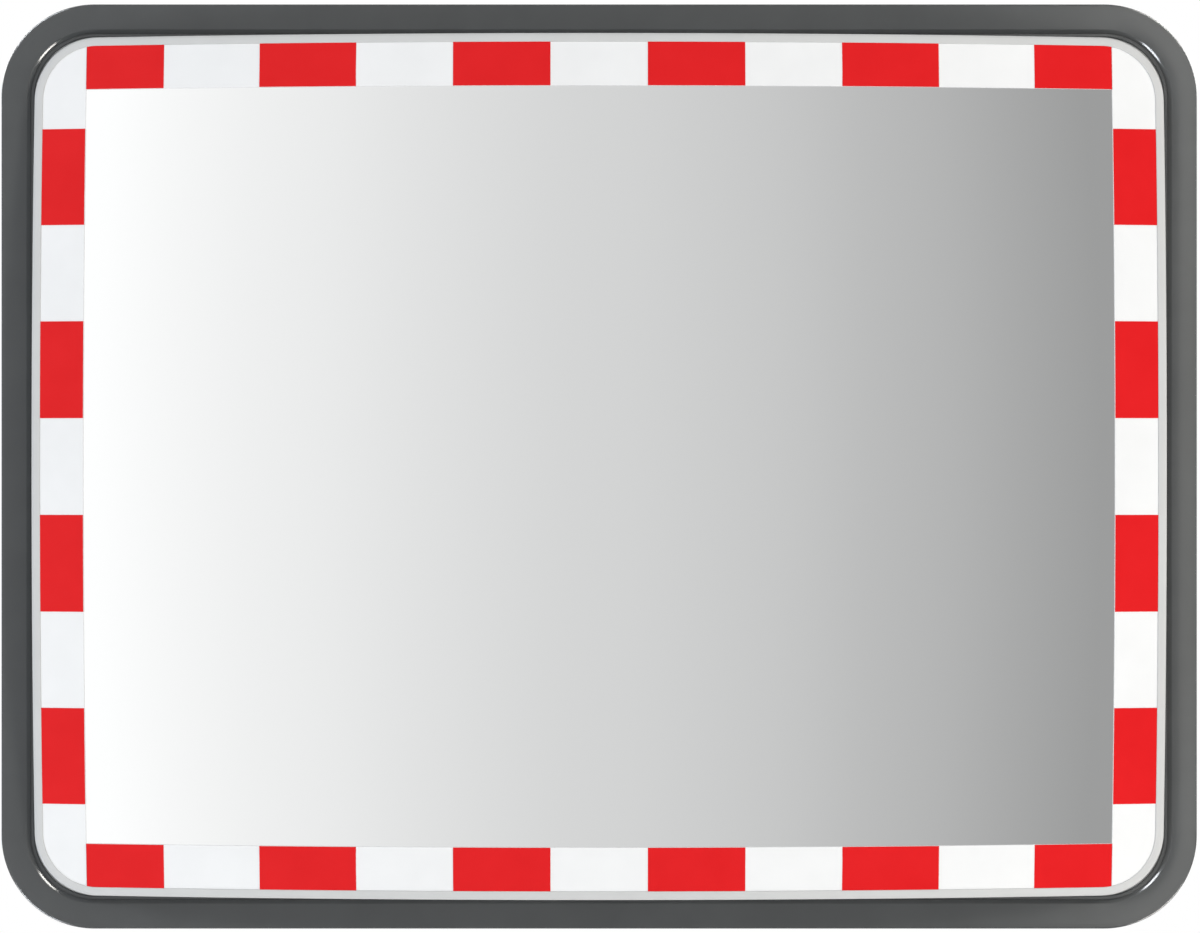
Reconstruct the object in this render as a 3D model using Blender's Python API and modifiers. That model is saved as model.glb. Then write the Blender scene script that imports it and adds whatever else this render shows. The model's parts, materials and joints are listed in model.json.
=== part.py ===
"""Rectangular convex mirror with a red and white border, on a wall bracket with two axes.

The mirror faces -Y, +Z is up, and the origin is the middle of the wall plate's back face.
Lengths are in metres. In the head, an offset is measured outward from the outline of the
reflective film, and a height is measured forward from the front face of the rim frame.
"""

import math

import bmesh
import bpy
from mathutils import Matrix, Vector

MM = 0.001
GAP = 0.3 * MM  # kept between pieces that touch

# Optic: the lens with its border of film
OPTIC_WIDTH = 800 * MM
OPTIC_HEIGHT = 605 * MM
OPTIC_CORNER_RADIUS = 39.5 * MM
LENS_RADIUS = 2650 * MM  # of the sphere that the lens is domed to
LENS_CROWN = 47.2 * MM  # middle of the lens, in front of the rim's face
LENS_THICKNESS = 3 * MM
LENS_HOLD = 4.1 * MM  # lens edge, outside the film's outline
FILM_WIDTH = 32.2 * MM
FILM_THICKNESS = 0.4 * MM
END_BLOCK_LENGTH = 56.6 * MM  # of the red blocks at the ends of the top and bottom strips
CORNER_WHITE_LENGTH = 60.8 * MM  # from the top or bottom to the first red block on a side
BLOCKS_ACROSS = 9  # between the end blocks, white and red in turn, white first
BLOCKS_UP = 7  # between the white corners, red and white in turn, red first

# Lens edging: a light grey moulding that grips the edge of the lens
EDGING_BAND = 6.2 * MM  # width seen from the front
EDGING_WALL = 1.8 * MM
EDGING_SHOULDER = 5 * MM  # radius
EDGING_PROUD = 1.6 * MM  # top of its lip, in front of the lens
EDGING_INNER_LIP = 1 * MM  # reach behind the lens, inside the film's outline
EDGING_FLANGE = 2 * MM

# Gasket between the flanges of the edging and the shell
GASKET_WIDTH = 12 * MM
GASKET_THICKNESS = 2 * MM

# Rim frame: a U profile that clips over both flanges and the gasket
RIM_CORNER_RADIUS = 67 * MM  # of its outer edge
RIM_FACE = 20.8 * MM
RIM_WALL = 3 * MM
RIM_OUTER_ROUND = 3 * MM
RIM_INNER_SLOPE = 2.8 * MM  # width of the sloping strip along the face's inner edge
RIM_INNER_FALL = 1.8 * MM  # how far that strip falls back
RIM_LEDGE = 2.7 * MM
RIM_LEDGE_DROP = 3 * MM
RIM_LEDGE_THICKNESS = 3 * MM
RIM_REAR_LIP = 16 * MM

# Rear shell: a moulded tray with a raised middle
SHELL_WALL = 2.5 * MM
SHELL_DEPTH = 58 * MM  # rim's face to the back of the raised middle
SHELL_DRAFT = 11 * MM  # how far its sides lean in
SHELL_BEND = 3 * MM
SHELL_BASE_ROUND = 8 * MM
PLATEAU_INSET = 112 * MM
PLATEAU_STEP = 6 * MM
PLATEAU_SLOPE = 5 * MM
PLATEAU_CORNER_RADIUS = 24 * MM
RIB_WIDTH = 9 * MM
RIB_HEIGHT = 4 * MM
RIB_MARGIN = 12 * MM  # between a rib's end and the nearest step
RIB_SPACING_ACROSS = 190 * MM
RIB_SPACING_UP = 150 * MM
DRAIN_DIAMETER = 8 * MM
DRAIN_SPACING = 500 * MM
STIFFENER_WIDTH = 280 * MM
STIFFENER_HEIGHT = 210 * MM
STIFFENER_THICKNESS = 3 * MM
STIFFENER_CORNER_RADIUS = 12 * MM

# Wall plate and arm
WALL_PLATE_WIDTH = 150 * MM
WALL_PLATE_HEIGHT = 200 * MM
WALL_PLATE_THICKNESS = 6 * MM
WALL_PLATE_CORNER_RADIUS = 12 * MM
WALL_HOLE_DIAMETER = 11 * MM
WALL_HOLE_PITCH_ACROSS = 110 * MM
WALL_HOLE_PITCH_UP = 160 * MM
ARM_DIAMETER = 48 * MM
ARM_WALL = 3 * MM
ARM_LENGTH = 110 * MM

# Forks, knuckle and yoke
FORK_THICKNESS = 5 * MM
FORK_BEND = 6 * MM
CLEVIS_WIDTH = 56 * MM
CLEVIS_REACH = 34 * MM  # back of the clevis to the pan axis
KNUCKLE_WIDTH = 36 * MM
KNUCKLE_HEIGHT = 40 * MM
KNUCKLE_LENGTH = 50 * MM  # between the two axes
YOKE_LUG_WIDTH = 44 * MM
YOKE_REACH = 36 * MM  # tilt axis to the back of the yoke's base
YOKE_BASE_WIDTH = 160 * MM
YOKE_BASE_HEIGHT = 130 * MM
YOKE_BASE_THICKNESS = 4 * MM
YOKE_BASE_CORNER_RADIUS = 10 * MM
YOKE_BOLT_PITCH_ACROSS = 120 * MM
YOKE_BOLT_PITCH_UP = 90 * MM

# Fasteners: thread, width across flats, head, nut, washer
PIVOT_THREAD = 12 * MM
PIVOT_FLATS = 18 * MM
PIVOT_HEAD = 7.5 * MM
PIVOT_NUT = 10.8 * MM
PIVOT_WASHER_DIAMETER = 24 * MM
PIVOT_WASHER = 2.5 * MM
YOKE_THREAD = 8 * MM
YOKE_FLATS = 13 * MM
YOKE_HEAD = 5.3 * MM
YOKE_NUT = 6.8 * MM
YOKE_WASHER_DIAMETER = 16 * MM
YOKE_WASHER = 1.6 * MM
THREAD_SPARE = 3 * MM  # bolt end, past its nut

# Fineness of the curved shapes
CORNER_STEPS = 7
SHOULDER_STEPS = 3
BEND_STEPS = 3
DOME_CELL = 50 * MM
ROUND_SIDES = 18
CUT = 2 * MM  # how far a cutter runs past what it cuts

# Offsets in the head, from the film's outline
RIM_LEDGE_OFFSET = EDGING_BAND + GAP
RIM_INNER_OFFSET = RIM_LEDGE_OFFSET + RIM_LEDGE
RIM_OUTER_OFFSET = RIM_INNER_OFFSET + RIM_FACE
HEAD_CORNER_RADIUS = RIM_CORNER_RADIUS - RIM_OUTER_OFFSET  # at no offset, for rim and shell
RIM_LIP_OFFSET = RIM_OUTER_OFFSET - RIM_REAR_LIP
FLANGE_OFFSET = RIM_OUTER_OFFSET - RIM_WALL - GAP
GROOVE_OFFSET = EDGING_BAND - EDGING_WALL
SHELL_WALL_OFFSET = RIM_LIP_OFFSET - GAP - SHELL_BEND

# Heights in the head, from the rim's face
LEDGE_BACK = -RIM_LEDGE_DROP - RIM_LEDGE_THICKNESS
EDGING_FLANGE_FRONT = LEDGE_BACK - GAP
EDGING_FLANGE_BACK = EDGING_FLANGE_FRONT - EDGING_FLANGE
GASKET_FRONT = EDGING_FLANGE_BACK - GAP
GASKET_BACK = GASKET_FRONT - GASKET_THICKNESS
SHELL_FLANGE_MIDDLE = GASKET_BACK - GAP - SHELL_WALL / 2
RIM_LIP_FRONT = SHELL_FLANGE_MIDDLE - SHELL_WALL / 2 - GAP
RIM_BACK = RIM_LIP_FRONT - RIM_WALL
PLATEAU_MIDDLE = -SHELL_DEPTH + SHELL_WALL / 2
PANEL_MIDDLE = PLATEAU_MIDDLE + PLATEAU_STEP
PANEL_BACK = PANEL_MIDDLE - SHELL_WALL / 2
FILM_LIFT = GAP
BLOCK_LIFT = FILM_LIFT + FILM_THICKNESS + GAP

# Places along Y, from the wall forward
ARM_BACK_Y = -WALL_PLATE_THICKNESS - GAP
ARM_FRONT_Y = ARM_BACK_Y - ARM_LENGTH
CLEVIS_BACK_Y = ARM_FRONT_Y - GAP
PAN_Y = CLEVIS_BACK_Y - CLEVIS_REACH
TILT_Y = PAN_Y - KNUCKLE_LENGTH
YOKE_BACK_Y = TILT_Y - YOKE_REACH
YOKE_FRONT_Y = YOKE_BACK_Y - YOKE_BASE_THICKNESS
SHELL_BACK_Y = YOKE_FRONT_Y - GAP
HEAD_Y = SHELL_BACK_Y - SHELL_DEPTH  # the rim's front face
STIFFENER_BACK_Y = SHELL_BACK_Y - SHELL_WALL - GAP
STIFFENER_FRONT_Y = STIFFENER_BACK_Y - STIFFENER_THICKNESS

RIGHT, REARWARD, UP = Vector((1, 0, 0)), Vector((0, 1, 0)), Vector((0, 0, 1))


# ---------------------------------------------------------------- scene and materials


def empty_scene():
    for old in list(bpy.data.objects):
        bpy.data.objects.remove(old)


def new_collection(name):
    made = bpy.data.collections.new(name)
    bpy.context.scene.collection.children.link(made)
    return made


def finish_material(name, colour, roughness, metallic=0.0):
    made = bpy.data.materials.new(name)
    made.use_nodes = True
    shader = made.node_tree.nodes["Principled BSDF"]
    shader.inputs["Base Color"].default_value = (*colour, 1.0)
    shader.inputs["Roughness"].default_value = roughness
    shader.inputs["Metallic"].default_value = metallic
    made.diffuse_color = (*colour, 1.0)
    return made


def make_materials():
    return {
        "mirror": finish_material("mirrored_acrylic", (0.86, 0.87, 0.88), 0.03, 1.0),
        "edging": finish_material("light_grey_plastic", (0.65, 0.65, 0.65), 0.5),
        "rim": finish_material("dark_grey_plastic", (0.075, 0.077, 0.08), 0.5),
        "shell": finish_material("grey_plastic", (0.19, 0.2, 0.205), 0.6),
        "rubber": finish_material("black_rubber", (0.025, 0.025, 0.027), 0.8),
        "white_film": finish_material("white_reflective_film", (0.9, 0.92, 0.93), 0.35),
        "red_film": finish_material("red_reflective_film", (0.77, 0.02, 0.02), 0.35),
        "coated_steel": finish_material("grey_coated_steel", (0.12, 0.125, 0.13), 0.55),
        "zinc": finish_material("zinc_plated_steel", (0.6, 0.61, 0.62), 0.35, 1.0),
    }


# ---------------------------------------------------------------- modelling helpers


def add_object(name, data, material, collection):
    made = bpy.data.objects.new(name, data)
    data.materials.append(material)
    collection.objects.link(made)
    return made


def add_mesh(name, bm, material, collection):
    bmesh.ops.recalc_face_normals(bm, faces=bm.faces)
    data = bpy.data.meshes.new(name)
    bm.to_mesh(data)
    bm.free()
    return add_object(name, data, material, collection)


def axes_rotation(x_axis, y_axis):
    """The turn that lays local X and Y along the two given directions."""
    columns = (x_axis, y_axis, x_axis.cross(y_axis))
    return Matrix(columns).transposed().to_euler()


def add_flat(name, outlines, thickness, place, axes, material, collection):
    """A flat piece: its first outline with the others cut out, as thick as given about place."""
    data = bpy.data.curves.new(name, "CURVE")
    data.dimensions = "2D"
    data.fill_mode = "BOTH"
    data.extrude = thickness / 2
    for outline in outlines:
        spline = data.splines.new("POLY")
        spline.points.add(len(outline) - 1)
        for point, (x, y) in zip(spline.points, outline):
            point.co = (x, y, 0, 1)
        spline.use_cyclic_u = True
    made = add_object(name, data, material, collection)
    made.location = place
    made.rotation_euler = axes_rotation(*axes)
    return made


def into_mesh(curve_object):
    """The curve's solid as a mesh object in the same place, its caps welded on."""
    bpy.context.view_layer.update()
    evaluated = curve_object.evaluated_get(bpy.context.evaluated_depsgraph_get())
    data = bpy.data.meshes.new_from_object(evaluated)
    bm = bmesh.new()
    bm.from_mesh(data)
    bmesh.ops.remove_doubles(bm, verts=bm.verts, dist=0.001 * MM)
    bm.to_mesh(data)
    bm.free()
    name, collection = curve_object.name, curve_object.users_collection[0]
    place = curve_object.matrix_world.copy()
    bpy.data.objects.remove(curve_object)
    made = bpy.data.objects.new(name, data)
    collection.objects.link(made)
    made.matrix_world = place
    return made


def boolean(target, tool, operation):
    step = target.modifiers.new(f"{operation.lower()} {tool.name}", "BOOLEAN")
    step.operation = operation
    step.object = tool
    tool.hide_render = True
    tool.display_type = "WIRE"


def smooth(target, angle=35):
    target.data.shade_smooth()
    target.data.set_sharp_from_angle(angle=math.radians(angle))


def arc(centre_x, centre_y, radius, start, end, steps):
    """Points on an arc, from the start angle to the end angle in degrees."""
    angles = [math.radians(start + (end - start) * i / steps) for i in range(steps + 1)]
    return [(centre_x + radius * math.cos(a), centre_y + radius * math.sin(a)) for a in angles]


def circle(radius, centre=(0, 0), sides=ROUND_SIDES):
    return arc(*centre, radius, 0, 360, sides)[:-1]


def hexagon(across_flats):
    return circle(across_flats / 2 / math.cos(math.pi / 6), sides=6)


def rounded_rectangle(width, height, radius, steps=BEND_STEPS):
    x, y = width / 2 - radius, height / 2 - radius
    corners = ((x, y), (-x, y), (-x, -y), (x, -y))
    return [
        point
        for quarter, centre in enumerate(corners)
        for point in arc(*centre, radius, 90 * quarter, 90 * quarter + 90, steps)
    ]


def four_holes(diameter, pitch_across, pitch_up):
    x, y = pitch_across / 2, pitch_up / 2
    return [circle(diameter / 2, centre) for centre in ((x, y), (-x, y), (-x, -y), (x, -y))]


def round_rod(bm, diameter, start, end):
    """A cylinder from start to end, which share all but one coordinate."""
    along = end - start
    turn = along.to_track_quat("Z", "Y").to_matrix().to_4x4()
    bmesh.ops.create_cone(
        bm,
        cap_ends=True,
        segments=ROUND_SIDES,
        radius1=diameter / 2,
        radius2=diameter / 2,
        depth=along.length,
        matrix=Matrix.Translation((start + end) / 2) @ turn,
    )


# ---------------------------------------------------------------- head outlines and dome


def dome_height(x, z):
    """The front of the lens, in front of the rim's face."""
    return LENS_CROWN - LENS_RADIUS + math.sqrt(LENS_RADIUS**2 - x**2 - z**2)


def head_outline(offset, corner_radius=HEAD_CORNER_RADIUS, least_radius=0.0, divide_sides=False):
    """The film's outline moved outward, counter-clockwise seen from the front. Its corners have
    the given radius at no offset."""
    radius = max(corner_radius + offset, least_radius)
    half_x = OPTIC_WIDTH / 2 + offset - radius
    half_z = OPTIC_HEIGHT / 2 + offset - radius
    corners = ((half_x, half_z), (-half_x, half_z), (-half_x, -half_z), (half_x, -half_z))
    sides = (OPTIC_WIDTH, OPTIC_HEIGHT) * 2
    points = []
    for quarter, (centre, side) in enumerate(zip(corners, sides)):
        points += arc(*centre, radius, 90 * quarter, 90 * quarter + 90, CORNER_STEPS)
        if divide_sides:
            following = corners[(quarter + 1) % 4]
            run = Vector(following) - Vector(centre)
            pieces = math.ceil(side / DOME_CELL)
            last = Vector(points[-1])
            points += [tuple(last + run * i / pieces) for i in range(1, pieces)]
    return points


def ring_of_loops(bm, loops, closed):
    """Faces between each loop of vertices and the next, and from the last to the first if closed."""
    pairs = list(zip(loops, loops[1:]))
    if closed:
        pairs.append((loops[-1], loops[0]))
    for inner, outer in pairs:
        for i in range(len(inner)):
            j = (i + 1) % len(inner)
            bm.faces.new((inner[i], inner[j], outer[j], outer[i]))


def swept_moulding(name, section, material, collection, follows_dome=False):
    """A closed section carried round the head. A point is an offset, a height and, where the
    height is measured from the dome, True."""
    bm = bmesh.new()
    loops = []
    for offset, height, on_dome in section:
        round_optic = follows_dome and offset <= EDGING_BAND
        corner_radius = OPTIC_CORNER_RADIUS if round_optic else HEAD_CORNER_RADIUS
        outline = head_outline(offset, corner_radius, divide_sides=follows_dome)
        base = [dome_height(x, z) if on_dome else 0.0 for x, z in outline]
        loops.append([bm.verts.new((x, -b - height, z)) for (x, z), b in zip(outline, base)])
    ring_of_loops(bm, loops, closed=True)
    made = add_mesh(name, bm, material, collection)
    made.location.y = HEAD_Y
    smooth(made)
    return made


def dome_sheet(name, x_range, z_range, lift, thickness, grows, material, collection):
    """A sheet laid on the dome. It grows forward (1) or backward (-1) from its height."""
    width, height = x_range[1] - x_range[0], z_range[1] - z_range[0]
    bm = bmesh.new()
    bmesh.ops.create_grid(
        bm,
        x_segments=math.ceil(width / DOME_CELL),
        y_segments=math.ceil(height / DOME_CELL),
        size=0.5,
    )
    for vert in bm.verts:
        x = sum(x_range) / 2 + vert.co.x * width
        z = sum(z_range) / 2 + vert.co.y * height
        vert.co = (x, -dome_height(x, z) - lift, z)
    made = add_mesh(name, bm, material, collection)
    if made.data.polygons[0].normal.y > 0:
        made.data.flip_normals()
    made.location.y = HEAD_Y
    solid = made.modifiers.new("thickness", "SOLIDIFY")
    solid.thickness = thickness
    solid.offset = grows
    smooth(made)
    return made


def trim_prism(name, offset, material, cutters):
    """A block of the optic's outline, moved outward, that trims what lies on the dome."""
    reach = LENS_CROWN + SHELL_DEPTH
    prism = add_flat(
        name,
        [head_outline(offset, OPTIC_CORNER_RADIUS)],
        2 * reach,
        (0, HEAD_Y, 0),
        (RIGHT, UP),
        material,
        cutters,
    )
    return into_mesh(prism)


# ---------------------------------------------------------------- mirror head


def make_lens(materials, parts, cutters):
    half_x, half_z = OPTIC_WIDTH / 2 + LENS_HOLD, OPTIC_HEIGHT / 2 + LENS_HOLD
    lens = dome_sheet(
        "mirror_lens",
        (-half_x - CUT, half_x + CUT),
        (-half_z - CUT, half_z + CUT),
        0,
        LENS_THICKNESS,
        -1,
        materials["mirror"],
        parts,
    )
    boolean(lens, trim_prism("lens_trim", LENS_HOLD, materials["mirror"], cutters), "INTERSECT")
    return lens


def make_edging(materials, parts):
    behind_lens = -LENS_THICKNESS - GAP
    shoulder_centre = (EDGING_BAND - EDGING_SHOULDER, EDGING_PROUD - EDGING_SHOULDER)
    shoulder = arc(*shoulder_centre, EDGING_SHOULDER, 0, 90, SHOULDER_STEPS)
    section = [
        (FLANGE_OFFSET, EDGING_FLANGE_BACK, False),
        (FLANGE_OFFSET, EDGING_FLANGE_FRONT, False),
        (EDGING_BAND, EDGING_FLANGE_FRONT, False),
        *[(offset, height, True) for offset, height in shoulder],
        (GAP, EDGING_PROUD, True),
        (GAP, GAP, True),
        (GROOVE_OFFSET, GAP, True),
        (GROOVE_OFFSET, behind_lens, True),
        (-EDGING_INNER_LIP, behind_lens, True),
        (-EDGING_INNER_LIP, behind_lens - EDGING_WALL, True),
        (GROOVE_OFFSET, behind_lens - EDGING_WALL, True),
        (GROOVE_OFFSET, EDGING_FLANGE_BACK, False),
    ]
    return swept_moulding("lens_edging", section, materials["edging"], parts, follows_dome=True)


def make_rim(materials, parts):
    inner_wall = RIM_INNER_OFFSET + RIM_WALL
    outer_wall = RIM_OUTER_OFFSET - RIM_WALL
    rear_round = arc(
        RIM_OUTER_OFFSET - RIM_OUTER_ROUND,
        RIM_BACK + RIM_OUTER_ROUND,
        RIM_OUTER_ROUND,
        -90,
        0,
        BEND_STEPS,
    )
    front_round = arc(
        RIM_OUTER_OFFSET - RIM_OUTER_ROUND,
        -RIM_OUTER_ROUND,
        RIM_OUTER_ROUND,
        0,
        90,
        BEND_STEPS,
    )
    section = [
        *rear_round,
        *front_round,
        (RIM_INNER_OFFSET + RIM_INNER_SLOPE, 0),
        (RIM_INNER_OFFSET, -RIM_INNER_FALL),
        (RIM_INNER_OFFSET, -RIM_LEDGE_DROP),
        (RIM_LEDGE_OFFSET, -RIM_LEDGE_DROP),
        (RIM_LEDGE_OFFSET, LEDGE_BACK),
        (inner_wall, LEDGE_BACK),
        (inner_wall, -RIM_WALL),
        (outer_wall, -RIM_WALL),
        (outer_wall, RIM_LIP_FRONT),
        (RIM_LIP_OFFSET, RIM_LIP_FRONT),
        (RIM_LIP_OFFSET, RIM_BACK),
    ]
    section = [(offset, height, False) for offset, height in section]
    return swept_moulding("rim_frame", section, materials["rim"], parts)


def make_gasket(materials, parts):
    inner = FLANGE_OFFSET - GASKET_WIDTH
    section = [
        (FLANGE_OFFSET, GASKET_BACK, False),
        (FLANGE_OFFSET, GASKET_FRONT, False),
        (inner, GASKET_FRONT, False),
        (inner, GASKET_BACK, False),
    ]
    return swept_moulding("flange_gasket", section, materials["rubber"], parts)


def shell_section():
    """The middle of the shell's wall, from the edge of its flange to the raised middle."""
    base_offset = SHELL_WALL_OFFSET - SHELL_DRAFT
    bend = arc(
        SHELL_WALL_OFFSET + SHELL_BEND,
        SHELL_FLANGE_MIDDLE - SHELL_BEND,
        SHELL_BEND,
        90,
        180,
        BEND_STEPS,
    )
    base_round = arc(
        base_offset - SHELL_BASE_ROUND,
        PANEL_MIDDLE + SHELL_BASE_ROUND,
        SHELL_BASE_ROUND,
        0,
        -90,
        BEND_STEPS + 1,
    )
    return [
        (FLANGE_OFFSET, SHELL_FLANGE_MIDDLE),
        *bend,
        *base_round,
        (-PLATEAU_INSET + PLATEAU_SLOPE, PANEL_MIDDLE),
        (-PLATEAU_INSET, PLATEAU_MIDDLE),
    ]


def rib_boxes():
    """The place and size of each rib, in X and Z, on the panel around the raised middle."""
    band_start = SHELL_WALL_OFFSET - SHELL_DRAFT - SHELL_BASE_ROUND - RIB_MARGIN
    band_end = -PLATEAU_INSET + PLATEAU_SLOPE + RIB_MARGIN
    length = band_start - band_end
    middle = (band_start + band_end) / 2
    boxes = []
    for side in (-1, 1):
        for step in (-1, 0, 1):
            place = (step * RIB_SPACING_ACROSS, side * (OPTIC_HEIGHT / 2 + middle))
            boxes.append((place, (RIB_WIDTH, length)))
        for step in (-0.5, 0.5):
            place = (side * (OPTIC_WIDTH / 2 + middle), step * RIB_SPACING_UP)
            boxes.append((place, (length, RIB_WIDTH)))
    return boxes


def make_rib_stock(materials, cutters):
    """All the ribs, standing on the panel's back and rooted halfway into its wall."""
    bm = bmesh.new()
    thickness = RIB_HEIGHT + SHELL_WALL / 2
    y_middle = -PANEL_MIDDLE + thickness / 2
    for (x, z), (width, height) in rib_boxes():
        place = Matrix.Translation((x, y_middle, z))
        scale = Matrix.Diagonal((width, thickness, height, 1))
        made = bmesh.ops.create_cube(bm, size=1, matrix=place @ scale)
        back = y_middle + thickness / 2
        edges = dict.fromkeys(e for v in made["verts"] for e in v.link_edges)
        rear = [e for e in edges if all(v.co.y > back - GAP for v in e.verts)]
        bmesh.ops.bevel(bm, geom=rear, offset=RIB_HEIGHT / 2, segments=2, profile=0.5, affect="EDGES")
    made = add_mesh("rib_stock", bm, materials["shell"], cutters)
    made.location.y = HEAD_Y
    return made


def make_shell_cutter(materials, cutters):
    """The yoke's bolt holes, and the drain holes through the bottom side."""
    bm = bmesh.new()
    x, z = YOKE_BOLT_PITCH_ACROSS / 2, YOKE_BOLT_PITCH_UP / 2
    hole = YOKE_THREAD + 2 * GAP
    for side, level in ((1, 1), (-1, 1), (-1, -1), (1, -1)):
        back = Vector((side * x, SHELL_BACK_Y + CUT, level * z))
        front = Vector((side * x, STIFFENER_BACK_Y - CUT, level * z))
        round_rod(bm, hole, back, front)
    drain_y = HEAD_Y - (RIM_BACK + PANEL_MIDDLE) / 2
    low = -OPTIC_HEIGHT / 2 - SHELL_WALL_OFFSET - SHELL_WALL - CUT
    high = -OPTIC_HEIGHT / 2 + SHELL_DRAFT + SHELL_WALL + CUT
    for side in (-1, 1):
        drain_x = side * DRAIN_SPACING / 2
        round_rod(bm, DRAIN_DIAMETER, Vector((drain_x, drain_y, low)), Vector((drain_x, drain_y, high)))
    return add_mesh("shell_cutter", bm, materials["shell"], cutters)


def make_shell(materials, parts, cutters):
    bm = bmesh.new()
    loops = []
    for offset, height in shell_section():
        outline = head_outline(offset, least_radius=PLATEAU_CORNER_RADIUS)
        loops.append([bm.verts.new((x, -height, z)) for x, z in outline])
    ring_of_loops(bm, loops, closed=False)
    bm.faces.new(loops[-1])
    shell = add_mesh("rear_shell", bm, materials["shell"], parts)
    shell.location.y = HEAD_Y
    solid = shell.modifiers.new("wall", "SOLIDIFY")
    solid.thickness = SHELL_WALL
    solid.offset = 0
    solid.use_even_offset = True
    boolean(shell, make_rib_stock(materials, cutters), "UNION")
    boolean(shell, make_shell_cutter(materials, cutters), "DIFFERENCE")
    smooth(shell)
    return shell


def make_stiffener(materials, parts):
    outline = rounded_rectangle(STIFFENER_WIDTH, STIFFENER_HEIGHT, STIFFENER_CORNER_RADIUS)
    holes = four_holes(YOKE_THREAD + 2 * GAP, YOKE_BOLT_PITCH_ACROSS, YOKE_BOLT_PITCH_UP)
    return add_flat(
        "stiffener_plate",
        [outline, *holes],
        STIFFENER_THICKNESS,
        (0, (STIFFENER_BACK_Y + STIFFENER_FRONT_Y) / 2, 0),
        (RIGHT, UP),
        materials["zinc"],
        parts,
    )


# ---------------------------------------------------------------- reflective border


def make_white_film(materials, parts, cutters):
    half_x, half_z = OPTIC_WIDTH / 2, OPTIC_HEIGHT / 2
    seam_x, seam_z = half_x - FILM_WIDTH, half_z - FILM_WIDTH
    trim = trim_prism("film_trim", 0, materials["white_film"], cutters)
    up, across = (-half_z - CUT, half_z + CUT), (-seam_x + GAP, seam_x - GAP)
    places = {
        "film_left": ((-half_x - CUT, -seam_x), up),
        "film_right": ((seam_x, half_x + CUT), up),
        "film_top": (across, (seam_z, half_z + CUT)),
        "film_bottom": (across, (-half_z - CUT, -seam_z)),
    }
    made = []
    for name, (x_range, z_range) in places.items():
        sheet = dome_sheet(
            name, x_range, z_range, FILM_LIFT, FILM_THICKNESS, 1, materials["white_film"], parts
        )
        boolean(sheet, trim, "INTERSECT")
        made.append(sheet)
    return made


def block_spans(start, end, count, first):
    """Every second one of the equal blocks from start to end, beginning at number first."""
    pitch = (end - start) / count
    return [(start + pitch * i, start + pitch * (i + 1)) for i in range(first, count, 2)]


def make_red_blocks(materials, parts, cutters):
    half_x, half_z = OPTIC_WIDTH / 2, OPTIC_HEIGHT / 2
    seam_x, seam_z = half_x - FILM_WIDTH, half_z - FILM_WIDTH
    inner_end = seam_x - END_BLOCK_LENGTH
    across = block_spans(-inner_end, inner_end, BLOCKS_ACROSS, first=1)
    across = [(-seam_x + GAP, -inner_end), *across, (inner_end, seam_x - GAP)]
    up_end = half_z - CORNER_WHITE_LENGTH
    up = block_spans(up_end, -up_end, BLOCKS_UP, first=0)
    up = [(low, high) for high, low in up]
    rows = {"top": (seam_z, half_z), "bottom": (-half_z, -seam_z)}
    columns = {"left": (-half_x, -seam_x), "right": (seam_x, half_x)}
    places = {}
    for row, z_range in rows.items():
        for number, x_range in enumerate(across, 1):
            places[f"red_block_{row}_{number}"] = (x_range, z_range)
    for column, x_range in columns.items():
        for number, z_range in enumerate(up, 1):
            places[f"red_block_{column}_{number}"] = (x_range, z_range)
    trim = trim_prism("block_trim", 0, materials["red_film"], cutters)
    made = []
    for name, (x_range, z_range) in places.items():
        block = dome_sheet(
            name, x_range, z_range, BLOCK_LIFT, FILM_THICKNESS, 1, materials["red_film"], parts
        )
        beside_corner = max(map(abs, x_range)) > half_x - OPTIC_CORNER_RADIUS
        if beside_corner and max(map(abs, z_range)) > half_z - OPTIC_CORNER_RADIUS:
            boolean(block, trim, "INTERSECT")
        made.append(block)
    return made


# ---------------------------------------------------------------- wall bracket


def make_wall_plate(materials, parts):
    outline = rounded_rectangle(WALL_PLATE_WIDTH, WALL_PLATE_HEIGHT, WALL_PLATE_CORNER_RADIUS)
    holes = four_holes(WALL_HOLE_DIAMETER, WALL_HOLE_PITCH_ACROSS, WALL_HOLE_PITCH_UP)
    return add_flat(
        "wall_plate",
        [outline, *holes],
        WALL_PLATE_THICKNESS,
        (0, -WALL_PLATE_THICKNESS / 2, 0),
        (RIGHT, UP),
        materials["coated_steel"],
        parts,
    )


def make_arm(materials, parts):
    outer, inner = circle(ARM_DIAMETER / 2), circle(ARM_DIAMETER / 2 - ARM_WALL)
    return add_flat(
        "arm_tube",
        [outer, inner],
        ARM_LENGTH,
        (0, (ARM_BACK_Y + ARM_FRONT_Y) / 2, 0),
        (RIGHT, UP),
        materials["coated_steel"],
        parts,
    )


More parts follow.
